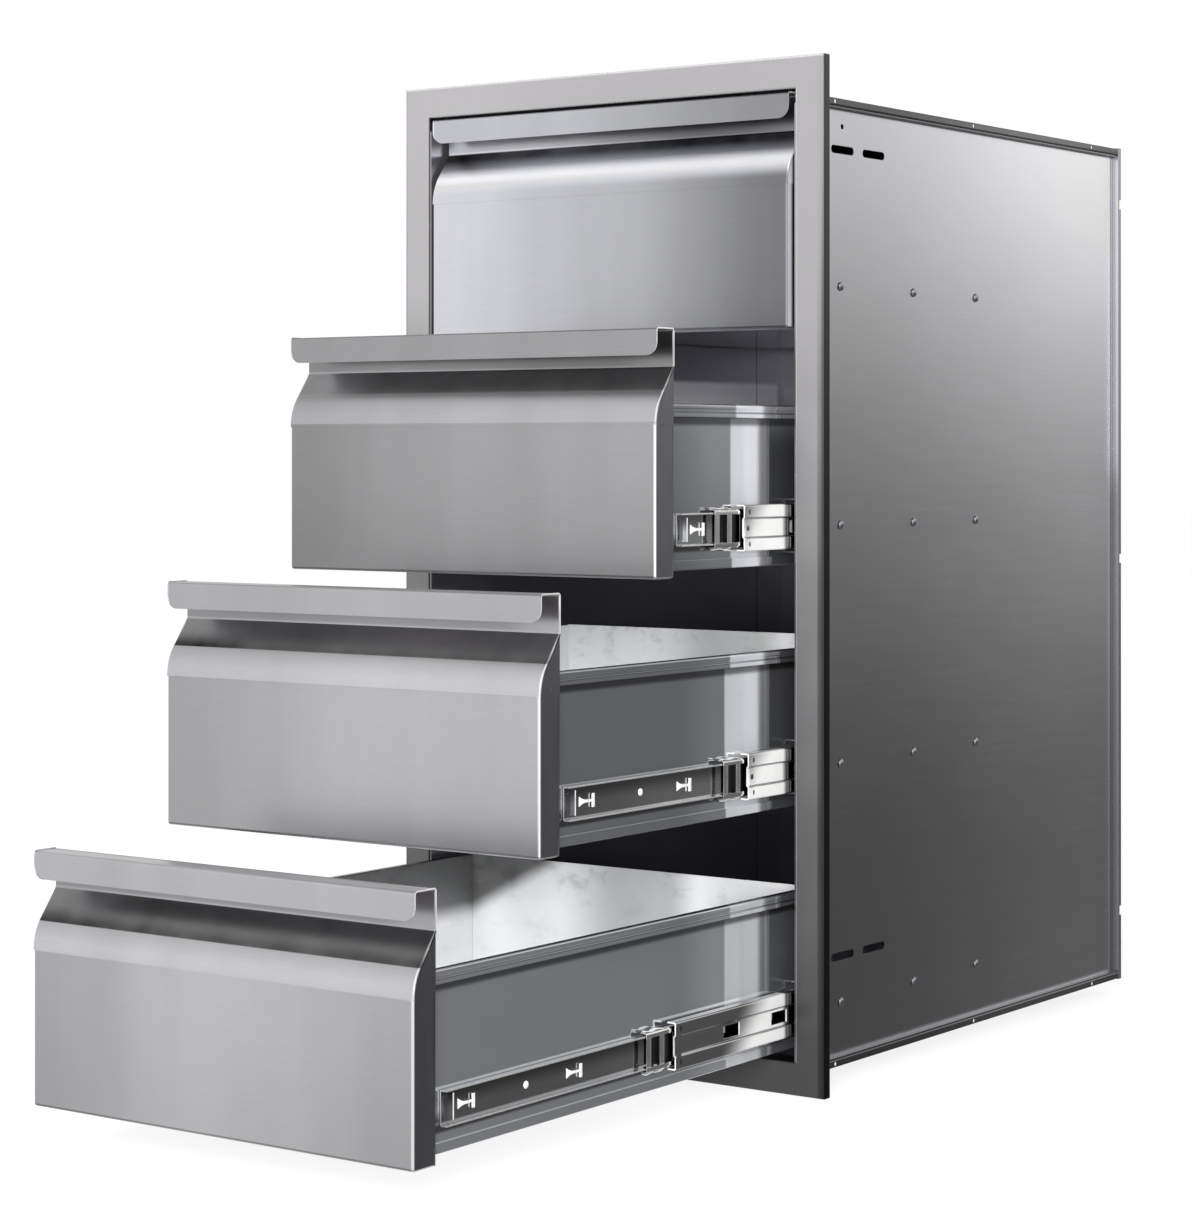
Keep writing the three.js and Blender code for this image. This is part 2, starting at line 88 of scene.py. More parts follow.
# Studio: a plain pale floor and white surroundings, with soft light all round. What metal
# reflects is brightest to the front right, darker below eye level, and dark overhead.
class Number:
    """A number at a node's socket. Sums and products of it add Math nodes, and so does a | b,
    the larger of two."""

    def __init__(self, finish, socket):
        self.finish, self.socket = finish, socket

    def math(self, operation, *values):
        return self.finish.node("ShaderNodeMath", {"operation": operation}, dict(enumerate(values)))

    def __add__(self, other):
        return self.math("ADD", self, other)

    def __sub__(self, other):
        return self.math("SUBTRACT", self, other)

    def __mul__(self, other):
        return self.math("MULTIPLY", self, other)

    def __radd__(self, other):
        return self.math("ADD", other, self)

    def __rsub__(self, other):
        return self.math("SUBTRACT", other, self)

    def __rmul__(self, other):
        return self.math("MULTIPLY", other, self)

    def __abs__(self):
        return self.math("ABSOLUTE", self)

    def __or__(self, other):
        return self.math("MAXIMUM", self, other)

    def rise(self, start, end):
        """Smooth step: 0 up to start, 1 from end on; start above end turns it round."""
        low, high, first, last = (start, end, 0.0, 1.0) if start < end else (end, start, 1.0, 0.0)
        settings = {"interpolation_type": "SMOOTHSTEP"}
        values = {"Value": self, "From Min": low, "From Max": high, "To Min": first, "To Max": last}
        return self.finish.node("ShaderNodeMapRange", settings, values)


class Finish:
    """A node tree as it is written: node() adds one node and gives back one of its outputs."""

    def __init__(self, tree):
        self.tree = tree
        tree.nodes.clear()

    def node(self, kind, settings=None, values=None, output=0):
        made = self.tree.nodes.new(kind)
        for name, setting in (settings or {}).items():
            setattr(made, name, setting)
        for name, value in (values or {}).items():
            found = [s for s in made.inputs if s.identifier == name or s.name == name]
            socket = made.inputs[name] if isinstance(name, int) else found[0]
            if isinstance(value, Number):
                self.tree.links.new(value.socket, socket)
            else:
                socket.default_value = value
        return Number(self, made.outputs[output]) if made.outputs else None

    def parts(self, vector):
        """The three numbers of a vector."""
        return [self.node("ShaderNodeSeparateXYZ", {}, {0: vector}, i) for i in range(3)]

    def noise(self, place, size, detail=2.0, share=0.5):
        """Smooth noise from 0 to 1 whose lumps measure size = (x, y, z) metres."""
        scaled = self.node(
            "ShaderNodeVectorMath", {"operation": "MULTIPLY"}, {0: place, 1: tuple(1 / s for s in size)}
        )
        values = {"Vector": scaled, "Scale": 1.0, "Detail": detail, "Roughness": share}
        return self.node("ShaderNodeTexNoise", {}, values)


world = bpy.data.worlds.new("Studio")
world.use_nodes = True
scene.world = world
air = Finish(world.node_tree)
direction, camera_ray, glossy_ray = 0, 0, 3
to_right, to_back, to_sky = air.parts(air.node("ShaderNodeTexCoord", output=direction))


def quarter(low, high, start, end):
    """A quarter of the room that is low bright underneath and high bright above."""
    return low + (high - low) * to_sky.rise(start, end)


front_left = quarter(0.30, 0.76, -0.5, -0.2)
front_right = quarter(0.55, 1.55, -0.24, 0.0)
rear_right = quarter(0.17, 1.12, -0.07, 0.18)
rear_left, ceiling_shade, matt_light = 0.75, 0.85, 0.9
right_side, back_side = to_right.rise(-0.1, 0.35), to_back.rise(-0.25, 0.25)
front_room = front_left + (front_right - front_left) * right_side
rear_room = rear_left + (rear_right - rear_left) * right_side
room = front_room + (rear_room - front_room) * back_side
room = room * (1 - ceiling_shade * to_sky.rise(0.70, 0.82))
seen, mirrored = (air.node("ShaderNodeLightPath", output=ray) for ray in (camera_ray, glossy_ray))
strength = seen + (1 - seen) * (mirrored * room + (1 - mirrored) * matt_light)
sky = air.node("ShaderNodeBackground", {}, {"Color": (1, 1, 1, 1), "Strength": strength})
air.node("ShaderNodeOutputWorld", {}, {"Surface": sky})


def soft_light(name, energy, size, place, tip, turn):
    """A round soft box, tipped up from straight down and then turned about the upright, in
    degrees. Metal doesn't show it, so it lights only what is matt."""
    lamp = bpy.data.lights.new(name, "AREA")
    lamp.shape = "DISK"
    lamp.size = size
    lamp.energy = energy
    box = bpy.data.objects.new(name, lamp)
    box.location = place
    box.rotation_euler = (np.radians(tip), 0, np.radians(turn))
    box.visible_glossy = False
    scene.collection.objects.link(box)


soft_light("High soft box", 45, 1.2, (-0.35, -1.75, 1.75), 45, -14)
soft_light("Low soft box", 115, 1.0, (1.2, -2.0, 0.65), 84, 32)

floor_level, floor_reach = -0.0055, 30.0
floor_glow, floor_lit_share = 1.05, 0.2
floor_corners = [
    (x * floor_reach, y * floor_reach, floor_level) for x, y in ((-1, -1), (1, -1), (1, 1), (-1, 1))
]
floor_mesh = bpy.data.meshes.new("Floor")
floor_mesh.from_pydata(floor_corners, [], [(0, 1, 2, 3)])
floor = bpy.data.objects.new("Floor", floor_mesh)
scene.collection.objects.link(floor)
floor.visible_glossy = False
paint = bpy.data.materials.new("Floor")
paint.use_nodes = True
matt = Finish(paint.node_tree)
lit = matt.node("ShaderNodeBsdfDiffuse", {}, {"Color": (0.9, 0.9, 0.9, 1)})
glow = matt.node("ShaderNodeEmission", {}, {"Color": (1, 1, 1, 1), "Strength": floor_glow})
both = matt.node("ShaderNodeMixShader", {}, {0: floor_lit_share, 1: glow, 2: lit})
matt.node("ShaderNodeOutputMaterial", {}, {"Surface": both})
floor_mesh.materials.append(paint)


# Trim frame: a picture frame folded from 1.2 mm stainless sheet, mitred and welded at its
# corners and brushed along its rails. Its rear hem bears on the island's face.
MM = 0.001


def bent(corners, radius, steps=5):
    """Middle line of a bent sheet, from corners (a, b) or (a, b, radius, steps).
    Each corner becomes an arc that touches both of its sides: it starts radius * tan(turn / 2)
    before the corner. Returns the points and the unit vectors to the left of the way."""
    places = np.array([corner[:2] for corner in corners], float)
    ways = np.diff(places, axis=0)
    ways /= np.linalg.norm(ways, axis=1)[:, None]
    left = ways @ np.array([[0, 1], [-1, 0]])
    points, normals = [places[:1]], [left[:1]]
    for corner, place, way_in, n_in, n_out in zip(corners[1:-1], places[1:-1], ways, left, left[1:]):
        r, count = corner[2:] or (radius, steps)
        turn = np.arctan2(n_in[0] * n_out[1] - n_in[1] * n_out[0], n_in @ n_out)
        r_signed = r * np.sign(turn)
        centre = place - way_in * r * np.tan(abs(turn) / 2) + n_in * r_signed
        angles = turn * np.linspace(0, 1, count + 1)
        cos, sin = np.cos(angles), np.sin(angles)
        arc = np.stack([n_in[0] * cos - n_in[1] * sin, n_in[0] * sin + n_in[1] * cos], 1)
        points.append(centre - arc * r_signed)
        normals.append(arc)
    return np.concatenate(points + [places[-1:]]), np.concatenate(normals + [left[-1:]])


def turned_out(points, quads, outlines=()):
    """Faces turned so that they look outwards. The sum of a . (b x c) over all triangles is six
    times the volume inside, so where it is negative every face is turned round."""
    fans = [quads[:, [0, 1, 2]], quads[:, [0, 2, 3]]]
    fans += [np.stack([np.full(len(o) - 2, o[0]), o[1:-1], o[2:]], 1) for o in outlines]
    a, b, c = (points[np.concatenate(fans)[:, i]] for i in range(3))
    if np.einsum("ij,ij->", a, np.cross(b, c)) < 0:
        quads, outlines = quads[:, ::-1], [o[::-1] for o in outlines]
    return quads.tolist() + [o.tolist() for o in outlines]


def folded(outside, inside, kept=None, ring=False):
    """Closed skin of a sheet given by two grids of points, one for each face. Every cell that is
    kept gives a quad on both, and every border between kept and cut cells gets a wall. A skin is
    its points, its faces, and a mark for each face: 0 outside, 1 inside, 2 on a cut edge."""
    rows, columns = outside.shape[:2]
    cells = columns if ring else columns - 1
    kept = np.ones((rows - 1, cells), bool) if kept is None else kept
    index = np.arange(rows * columns).reshape(rows, columns)
    here, beside = np.arange(cells), (np.arange(cells) + 1) % columns
    corners = index[:-1, here], index[1:, here], index[1:, beside], index[:-1, beside]
    quads = np.stack(corners, -1)[kept]
    over = rows * columns
    walls = []
    above = np.pad(kept, ((1, 0), (0, 0)))
    below = np.pad(kept, ((0, 1), (0, 0)))
    for mask, ends in ((below & ~above, (here, beside)), (above & ~below, (beside, here))):
        r, c = np.nonzero(mask)
        a, b = index[r, ends[0][c]], index[r, ends[1][c]]
        walls.append(np.stack([a, b, b + over, a + over], 1))
    before = np.roll(kept, 1, 1) if ring else np.pad(kept, ((0, 0), (1, 0)))
    after = kept if ring else np.pad(kept, ((0, 0), (0, 1)))
    for mask, turn in ((after & ~before, 1), (before & ~after, 0)):
        r, c = np.nonzero(mask)
        a, b = index[r + turn, c], index[r + 1 - turn, c]
        walls.append(np.stack([a, b, b + over, a + over], 1))
    marks = np.repeat([0, 1, 2], [len(quads), len(quads), sum(map(len, walls))])
    quads = np.concatenate([quads, quads[:, ::-1] + over] + walls)
    points = np.concatenate([outside.reshape(-1, 3), inside.reshape(-1, 3)])
    used, quads = np.unique(quads, return_inverse=True)
    return points[used], turned_out(points[used], quads.reshape(-1, 4)), marks


def made(name, skins, body, nodes, slot, edge=0.25, place=(0, 0, 0)):
    """One object from closed skins in millimetres, moved to its place, with its sharp edges
    broken by a bevel as wide as edge. Each skin comes with its finishes: one for all of it, or
    one each for its outside, its inside and its cut edges."""
    points, faces, slots, chosen = [], [], [], []
    for (skin_points, skin_faces, marks), finishes in skins:
        start = sum(map(len, points))
        points.append(skin_points + np.array(place))
        faces += [[v + start for v in face] for face in skin_faces]
        slots = list(dict.fromkeys([*slots, *finishes]))
        own = np.array([slots.index(finish) for finish in finishes])
        chosen.append(own[np.minimum(marks, len(own) - 1)])
    mesh = bpy.data.meshes.new(name)
    mesh.from_pydata((np.concatenate(points) * MM).tolist(), [], faces)
    return dressed_mesh(name, mesh, slots, np.concatenate(chosen), body, nodes, edge)


def dressed_mesh(name, mesh, finishes, chosen, body, nodes, edge, angle=40):
    """The mesh as a finished piece: materials, broken edges, its body and what it replaces."""
    mesh.shade_smooth()
    mesh.materials.clear()
    for finish in finishes:
        mesh.materials.append(finish)
    mesh.polygons.foreach_set("material_index", np.asarray(chosen, np.int32))
    piece = bpy.data.objects.new(name, mesh)
    scene.collection.objects.link(piece)
    bevel = piece.modifiers.new("Broken edges", "BEVEL")
    bevel.width = edge * MM
    bevel.segments = 2
    bevel.limit_method = "ANGLE"
    bevel.angle_limit = np.radians(angle)
    smooth = piece.modifiers.new("Flat faces stay flat", "WEIGHTED_NORMAL")
    smooth.keep_sharp = True
    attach(piece, body)
    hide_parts(*nodes)
    return piece


streak_rough, cloud_rough = 0.2, 0.15
# How much brighter and smoother the painted highlights are.
highlight_gain, highlight_smoothing = 0.25, 0.08
relief_depth = 0.0003
object_place = 3


def steel(
    name,
    tint,
    roughness,
    grain,
    streak=0.05,
    cloud=0.06,
    spread=(0.16, 0.16, 0.09),
    tone=None,
    highlights=None,
    bump=0.05,
    metal=1.0,
):
    """Brushed sheet: fine streaks along the grain, soft clouds, and painted highlights that are also a
    little smoother. grain and spread are the sizes of a streak and of a cloud in metres, streak and
    cloud are how much they change the brightness, tone scales the colour, mostly with painted light and
    shade, and metal below 1 stands for dull plating or haze, and on places of painted light lets the
    soft light brighten them. Object coordinates keep the pattern on the piece as it moves."""
    material = bpy.data.materials.new(name)
    material.use_nodes = True
    finish = Finish(material.node_tree)
    place = finish.node("ShaderNodeTexCoord", output=object_place)
    streaks = finish.noise(place, grain, 2.0, 0.6)
    clouds = finish.noise(place, spread, 2.0, 0.5)
    light = 1 + (streaks - 0.5) * (streak * 2) + (clouds - 0.5) * (cloud * 2)
    if tone is not None:
        light = light * tone(finish, place)
    uneven = (streaks - 0.5) * (streak_rough * roughness) + (clouds - 0.5) * (cloud_rough * roughness)
    rough = roughness + uneven
    if highlights is not None:
        lit_edges = highlights(finish, place)
        light = light + lit_edges * highlight_gain
        rough = rough - lit_edges * highlight_smoothing
    shaded = finish.node("ShaderNodeVectorMath", {"operation": "SCALE"}, {0: tint, "Scale": light})
    shine = metal(finish, place) if callable(metal) else metal
    bumps = {"Strength": bump, "Distance": relief_depth, "Height": streaks}
    relief = finish.node("ShaderNodeBump", {}, bumps)
    surface = finish.node(
        "ShaderNodeBsdfPrincipled",
        {},
        {"Base Color": shaded, "Metallic": shine, "Roughness": rough, "Normal": relief},
    )
    finish.node("ShaderNodeOutputMaterial", {}, {"Surface": surface})
    return material


def haze_and_sheen(shine, haze, where):
    """A metal value: shine, less by haze on the places where the mask where(x, y, z) is 1. Except on
    the frame's satin face, these places carry painted light and are made matt so that the soft light
    brightens them.
    """
    return lambda finish, place: shine - haze * where(*finish.parts(place))


frame_low, frame_high = (np.array(corner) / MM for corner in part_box("trim_frame"))
frame_sheet, frame_rail, frame_hem, frame_bend = 1.2, 27.5, 10.0, 1.4
frame_face, throat_end = frame_low[1], frame_high[1]
edge_x, mouth_x = float(frame_high[0]) * MM, float(frame_high[0] - frame_rail) * MM
frame_middle = float(frame_low[2] + frame_high[2]) / 2 * MM
mouth_half = float(frame_high[2]) * MM - frame_middle - frame_rail * MM

half = frame_sheet / 2
line, normal = bent(
    [
        (frame_hem, -half),
        (half, -half),
        (half, frame_face + half),
        (frame_rail - half, frame_face + half),
        (frame_rail - half, throat_end),
    ],
    frame_bend,
)


def mitred(section):
    """A section (inset, y) carried round the frame's rectangle: at each corner the point lies
    inset from both outer edges, so the rails meet in a mitre."""
    middle = (frame_low + frame_high) / 2
    reach = (frame_high - frame_low) / 2
    sides = np.array([(-1, -1), (1, -1), (1, 1), (-1, 1)])
    x = sides[:, 0] * (reach[0] - section[:, :1]) + middle[0]
    z = sides[:, 1] * (reach[2] - section[:, :1]) + middle[2]
    y = np.broadcast_to(section[:, 1:], x.shape)
    return np.stack([x, y, z], -1)


def satin_face(x, y, z):
    """1 on the face, which is satin and so fine that it hardly mirrors the drawers."""
    return y.rise(-0.0100, -0.0112)


def frame_painted_light(finish, place):
    """Painted light and shade: the face is painted darker towards its bottom and towards its right edge
    and lighter on its left, and the bend, the return and the left side of the mouth are painted darker
    than the face."""
    x, y, z = finish.parts(place)
    down, below, foot = z.rise(0.66, 0.45), z.rise(0.45, 0.26), z.rise(0.22, 0.03)
    face = 0.82 - 0.20 * down - 0.27 * below - 0.20 * foot + 0.15 * x.rise(0.1, -0.2)
    right_edge_shade = x.rise(edge_x - 0.0070, edge_x - 0.0040) * (0.04 + 0.58 * z.rise(0.80, 0.35))
    returned = abs(x).rise(edge_x - 0.0010, edge_x - 0.0004) * y.rise(-0.0112, -0.0104)
    bend = abs(x).rise(edge_x - 0.0024, edge_x - 0.0014) * (1 - returned)
    folds = 1 - 0.88 * returned - (0.10 + 0.56 * z.rise(0.85, 0.60)) * bend
    mouth_height = abs(z - frame_middle).rise(mouth_half + 0.0010, mouth_half)
    left_mouth_shade = x.rise(-mouth_x - 0.0012, -mouth_x - 0.0005)
    left_mouth_shade = left_mouth_shade * x.rise(0.0045 - mouth_x, 0.0015 - mouth_x)
    shades = (1 - 0.8 * left_mouth_shade * mouth_height) * (1 - 0.70 * satin_face(x, y, z))
    return face * folds * shades * (1 - right_edge_shade)


def frame_painted_highlights(finish, place):
    """Painted highlights, also made a little smoother, along the top edge and along the right edge of
    the mouth.
    """
    x, y, z = finish.parts(place)
    mouth = x.rise(mouth_x - 0.0015, mouth_x - 0.0005) * x.rise(mouth_x + 0.0017, mouth_x + 0.0009)
    mouth = mouth * abs(z - frame_middle).rise(mouth_half + 0.0005, mouth_half - 0.0005)
    return (z.rise(0.8625, 0.8645) | 1.6 * mouth) * y.rise(-0.0090, -0.0115)


frame_steel = steel(
    "Frame steel", (0.665, 0.65, 0.665), 0.32, (0.0016, 0.02, 0.12), 0.03, 0.04,
    tone=frame_painted_light, highlights=frame_painted_highlights, metal=haze_and_sheen(1, 0.75, satin_face),
)
made(
    "frame_ring",
    [(folded(mitred(line + normal * half), mitred(line - normal * half), ring=True), (frame_steel,))],
    "cabinet",
    ["trim_frame"],
    "frame_steel",
)


# Cabinet: two side sheets with slots for fixing screws, a top and a bottom tray with folded
# lips, and a back sheet with a turned rim, spot-welded together behind the frame.
cabinet_middle = (0, 0.3, 0.43)
same_place, same_plane, facing = 1e-6, 0.01, 0.99


def dressed(node, finish, edge=0.2):
    """A CAD sheet with its loose triangles merged, its flat runs dissolved to whole faces and its edges
    broken. Faces that look to the cabinet's middle get the darker inside copy of the steel, which
    paints the shade inside the cabinet."""
    mesh = frame["nodes"][node].data.copy()
    work = bmesh.new()
    work.from_mesh(mesh)
    bmesh.ops.remove_doubles(work, verts=work.verts, dist=same_place)
    bmesh.ops.dissolve_limit(work, angle_limit=same_plane, verts=work.verts, edges=work.edges)
    work.to_mesh(mesh)
    work.free()
    body = frame["nodes"][node]["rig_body"]
    centres, normals = (np.empty(len(mesh.polygons) * 3) for _ in range(2))
    mesh.polygons.foreach_get("center", centres)
    mesh.polygons.foreach_get("normal", normals)
    away = (centres.reshape(-1, 3) - cabinet_middle) * normals.reshape(-1, 3)
    faces_in = (away.sum(1) < 0) & (np.abs(normals.reshape(-1, 3)).max(1) > facing)
    finishes = [finish, shaded_inside_steel]
    return dressed_mesh(node + "_sheet", mesh, finishes, faces_in, body, [node], edge, 30)


panel_top = float(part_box("side_panel_right")[1][2])


def side_painted_light(finish, place):
    """Painted light and shade: brighter towards the top and towards the back, with painted shade along
    the top edge and where the rear fold starts."""
    x, y, z = finish.parts(place)
    height = 0.58 + 0.34 * z.rise(0.15, 0.50) + 0.42 * z.rise(0.45, 0.85)
    depth = 0.76 + 0.57 * y.rise(0.02, 0.60)
    fold_line = y.rise(0.5865, 0.5875) * y.rise(0.5900, 0.5885)
    folds = 1 - 0.15 * y.rise(0.5920, 0.5950) - 0.40 * y.rise(0.5865, 0.5885) - 0.25 * fold_line
    top_edge_shade = z.rise(panel_top - 0.0030, panel_top - 0.0015)
    return height * depth * folds * (1 - 0.7 * top_edge_shade)


def tray_painted_shade(finish, place):
    """Painted shade: the trays are painted dark, and a little lighter halfway back."""
    x, y, z = finish.parts(place)
    return 0.20 + 0.13 * y.rise(0.1, 0.4) - 0.08 * y.rise(0.45, 0.6)


def rim_painted_light(x, y, z):
    """1 on the low band of the inside where light is painted above the second drawer's rim."""
    return z.rise(0.609, 0.602) * z.rise(0.53, 0.56) * y.rise(0.590, 0.585)


def inside_tone(finish, place):
    """Painted shade towards the back below the second drawer and painted light on the band above its
    rim, with a joint near the back."""
    x, y, z = finish.parts(place)
    joint = abs(y - 0.546).rise(0.0016, 0.0006)
    deep = y.rise(0.28, 0.52) * z.rise(0.54, 0.48)
    return (1 - 0.45 * deep) * (1 - 0.6 * joint) * (1 + 0.9 * rim_painted_light(x, y, z))


def rim_less_metal(x, y, z):
    """The band of painted light above the second drawer's rim is less metallic, most of all at its
    foot, so that the soft light brightens it.
    """
    return (0.60 + 0.30 * z.rise(0.600, 0.580)) * rim_painted_light(x, y, z)


along_sides, along_trays, across_back = (0.02, 0.12, 0.004), (0.02, 0.09, 0.003), (0.12, 0.02, 0.004)
panel_steel = steel(
    "Panel steel", (0.60, 0.60, 0.615), 0.26, along_sides, 0.02, 0.04, tone=side_painted_light, bump=0.01
)
tray_steel = steel(
    "Tray steel", (0.60, 0.60, 0.61), 0.28, along_trays, 0.03, 0.06, tone=tray_painted_shade, bump=0.02
)
shaded_inside_steel = steel(
    "Shaded inside steel", (0.50, 0.50, 0.54), 0.24, along_sides, 0.03, 0.08,
    tone=inside_tone, bump=0.01, metal=haze_and_sheen(0.93, 1, rim_less_metal),
)
back_steel = steel("Back steel", (0.42, 0.42, 0.44), 0.28, across_back, 0.03, 0.06, bump=0.01)
for node in ("side_panel_right", "side_panel_left"):
    dressed(node, panel_steel)
for node in ("top_panel", "bottom_panel"):
    dressed(node, tray_steel)
dressed("back_panel", back_steel)


# Drawer fronts, of 1.2 mm stainless sheet: a face brushed along its width is lapped by a handle
# strip folded to a round brow, a slope, a neck and a grip lip. Cheeks close both ends, and the
# rear hems sit against the drawer box.
front_sheet, front_bend, front_lap = 1.2, 1.8, 0.7
face_curl, lip_curl, foot_bend = 1.8, 0.8, 2.0
front_depth, front_height, front_half = 26.0, 198.0, 189.0
flat_top, brow_radius, brow_turn = 122.0, 40.0, np.radians(38)
lip_drop, lip_setback, lip_corner = 21.5, 2.0, 10.5
rear_hem, hidden_lap, cheek_sink = 14.0, 8.0, 0.83
lip_steps = 12

half = front_sheet / 2
rear = front_depth - half
brow_corner = flat_top + (brow_radius - half) * np.tan(brow_turn / 2)
neck_foot = brow_corner + (rear - half) / np.tan(brow_turn)
lip_line = lip_setback + half
face_sheet = bent(
    [
        (rear, rear_hem),
        (rear, half, foot_bend, 6),
        (half + front_lap, half, foot_bend, 8),
        (half + front_lap, flat_top + hidden_lap),
    ],
    front_bend,
)
strip_sheet = bent(
    [
        (half, flat_top - half),
        (half, brow_corner, brow_radius - half, 28),
        (rear, neck_foot),
        (rear, front_height - half),
        (lip_line, front_height - half),
        (lip_line, front_height - lip_drop + lip_corner),
    ],
    front_bend,
)


def along_width(line, normal, reach, curl):
    """Both faces of a sheet whose middle line (y, z) is drawn out to both sides, as a skin. At
    its ends it curls inwards on a quarter circle: at angle a it has moved in by
    curl * (1 - cos a), and it lies curl * (1 - sin a) short of its reach."""
    turns = np.radians([80, 60, 40, 20, 0])
    short, inward = curl[:, None] * (1 - np.sin(turns)), curl[:, None] * (1 - np.cos(turns))
    inward = np.concatenate([inward, inward[:, ::-1]], 1)
    x = np.concatenate([short - reach[:, None], reach[:, None] - short[:, ::-1]], 1)
    faces = [line[:, None] + normal[:, None] * (shift - inward)[..., None] for shift in (half, -half)]
    return folded(*(np.concatenate([x[..., None], face], -1) for face in faces))


def plate(outline, thick, axis):
    """A flat plate: a closed outline in the two other axes, drawn out along axis from thick[0]
    to thick[1]."""
    outline = np.asarray(outline, float)
    count = len(outline)
    points = np.concatenate([np.insert(outline, axis, depth, axis=1) for depth in thick])
    here, beside = np.arange(count), (np.arange(count) + 1) % count
    quads = np.stack([here, beside, beside + count, here + count], 1)
    faces = turned_out(points, quads, [here[::-1], here + count])
    return points, faces, np.repeat([2, 0], [count, 2])


def block(x, y, z):
    """A box between the two values that are given for each axis."""
    return plate([(y[0], z[0]), (y[1], z[0]), (y[1], z[1]), (y[0], z[1])], x, 0)


line, normal = strip_sheet
sweep = np.linspace(0, np.pi / 2, lip_steps + 1)[1:]
tip_height = front_height - lip_drop + lip_corner * (1 - np.sin(sweep))
line = np.concatenate([line, np.stack([np.full(lip_steps, lip_line), tip_height], 1)])
normal = np.concatenate([normal, np.repeat(normal[-1:], lip_steps, 0)])
reach = np.full(len(line), front_half)
reach[-lip_steps:] -= lip_corner * (1 - np.cos(sweep))
on_brow = line[:, 1] < neck_foot - 2 * front_bend
strip_skin = along_width(line, normal, reach, np.where(on_brow, face_curl, lip_curl))
face_line, face_normal = face_sheet
face_reach, face_curls = (np.full(len(face_line), size) for size in (front_half - front_lap, face_curl))
face_skin = along_width(face_line, face_normal, face_reach, face_curls)
sunk = cheek_sink * face_curl - half
lower = (face_line - face_normal * sunk)[1:]
brow_points = (line - normal * sunk)[line[:, 1] <= neck_foot + front_bend]
lower_cheek = np.concatenate([lower, [(rear, flat_top + hidden_lap)]])
upper_cheek = np.concatenate([brow_points, [(rear, brow_points[-1, 1]), (rear, flat_top - half)]])
hem_depth, hem_height = (front_depth - front_sheet, front_depth), (half, neck_foot - front_bend)
cheek_skins = []
for side in (-1, 1):
    for outline, at in ((lower_cheek, front_half - front_lap), (upper_cheek, front_half)):
        cheek_skins.append(plate(outline, sorted((side * at, side * (at - front_sheet))), 0))
    hem = sorted((side * (front_half - front_lap), side * (front_half - rear_hem)))
    cheek_skins.append(block(hem, hem_depth, hem_height))


def front_painted_light(place, crown, slope, ends, foot, lip, glint=0.9, neck_fall=0.0, lip_fall=0.0):
    """Painted light and shade on a front: ends are its painted brightness at its left end, centre and
    right end, and foot at its foot. From the lap on it turns towards the painted highlight of the crown
    (start, end, level, share, fade). The slope (start, end, first, last, at_left) is painted darker by
    first where it starts, by last at the neck and by at_left more at its left end. Neck and lip are
    painted darker to the right, the neck lighter at its right end, and a painted glint lies on the curl
    at the right end of the face."""
    (place_y, place_z), (left, centre, right) = (place * MM).tolist()[1:], ends

    def tone(finish, place):
        x, y, z = finish.parts(place)
        height = z - place_z
        along = left + (centre - left) * x.rise(-0.19, 0.0) + (right - centre) * x.rise(0.0, 0.19)
        face = along * (foot + (1 - foot) * height.rise(0.0, 0.11))
        start, end, level, share, fade = crown
        face = face + (level - face) * share * height.rise(start, end)
        face = face * (1 - fade * height.rise(0.128, 0.146))
        start, end, first, last, at_left = slope
        shade = first + (last - first) * height.rise(start, start + 0.014)
        shade_patches = finish.noise(place, (0.030, 0.02, 0.15), 2.0, 0.5) - 0.5
        shade = shade + shade_patches * 0.35 + at_left * x.rise(-0.10, -0.14)
        face = face * (1 - shade * height.rise(start, end) * height.rise(0.1685, 0.1665))
        behind = y.rise(place_y + 0.018, place_y + 0.020) * height.rise(0.168, 0.170)
        right_glint = x.rise(0.1860, 0.1866) * height.rise(0.123, 0.121)
        lips = height.rise(0.172, 0.178) * (1 - behind)
        face = face + (lip * (0.9 * centre + 0.05) - face) * 0.6 * lips
        face = face * (1 - lip_fall * (0.2 + 0.8 * x.rise(-0.10, 0.19)) * lips)
        lit_end = (0.25 + 0.5 * height.rise(0.180, 0.192)) * x.rise(0.13, 0.18)
        under_lip = height.rise(0.1660, 0.1670) * (1 - lips)
        neck = (1 - 0.3 * behind + lit_end * behind) * (1 - neck_fall * under_lip * x.rise(-0.14, 0.10))
        return (face + glint * right_glint) * neck

    return tone


# Painted light and shade of each front: its crown highlight, its slope shade, and its painted
# brightness along the width, at its foot and on its lip.
crowns = {
    1: (0.127, 0.141, 1.7, 1.0, 0.0),
    2: (0.1235, 0.1245, 1.4, 0.35, 0.10),
    3: (0.1215, 0.1220, 1.5, 0.40, 0.22),
    4: (0.1205, 0.1215, 1.28, 0.75, 0.24),
}
slopes = {
    1: (0.149, 0.163, 0.84, 0.86, 0.0),
    2: (0.1485, 0.1505, 0.42, 0.33, -0.30),
    3: (0.1456, 0.1464, 0.69, 0.14, 0.20),
    4: (0.1432, 0.1440, 0.80, 0.40, 0.12),
}
casts = {
    1: {
        "ends": (1.46, 1.06, 0.43), "foot": 0.98, "lip": 1.0, "glint": 0.1, "neck_fall": 0.7,
        "lip_fall": 0.5,
    },
    2: {"ends": (0.57, 0.79, 0.84), "foot": 0.87, "lip": 0.84, "neck_fall": 0.35},
    3: {"ends": (0.79, 1.02, 1.06), "foot": 0.97, "lip": 0.97},
    4: {"ends": (0.85, 1.14, 0.90), "foot": 0.92, "lip": 1.0},
}
drawers = range(1, 5)
front_places = {
    n: np.array(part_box(f"drawer_{n}_front")[0]) / MM + (front_half, 0, 0) for n in drawers
}


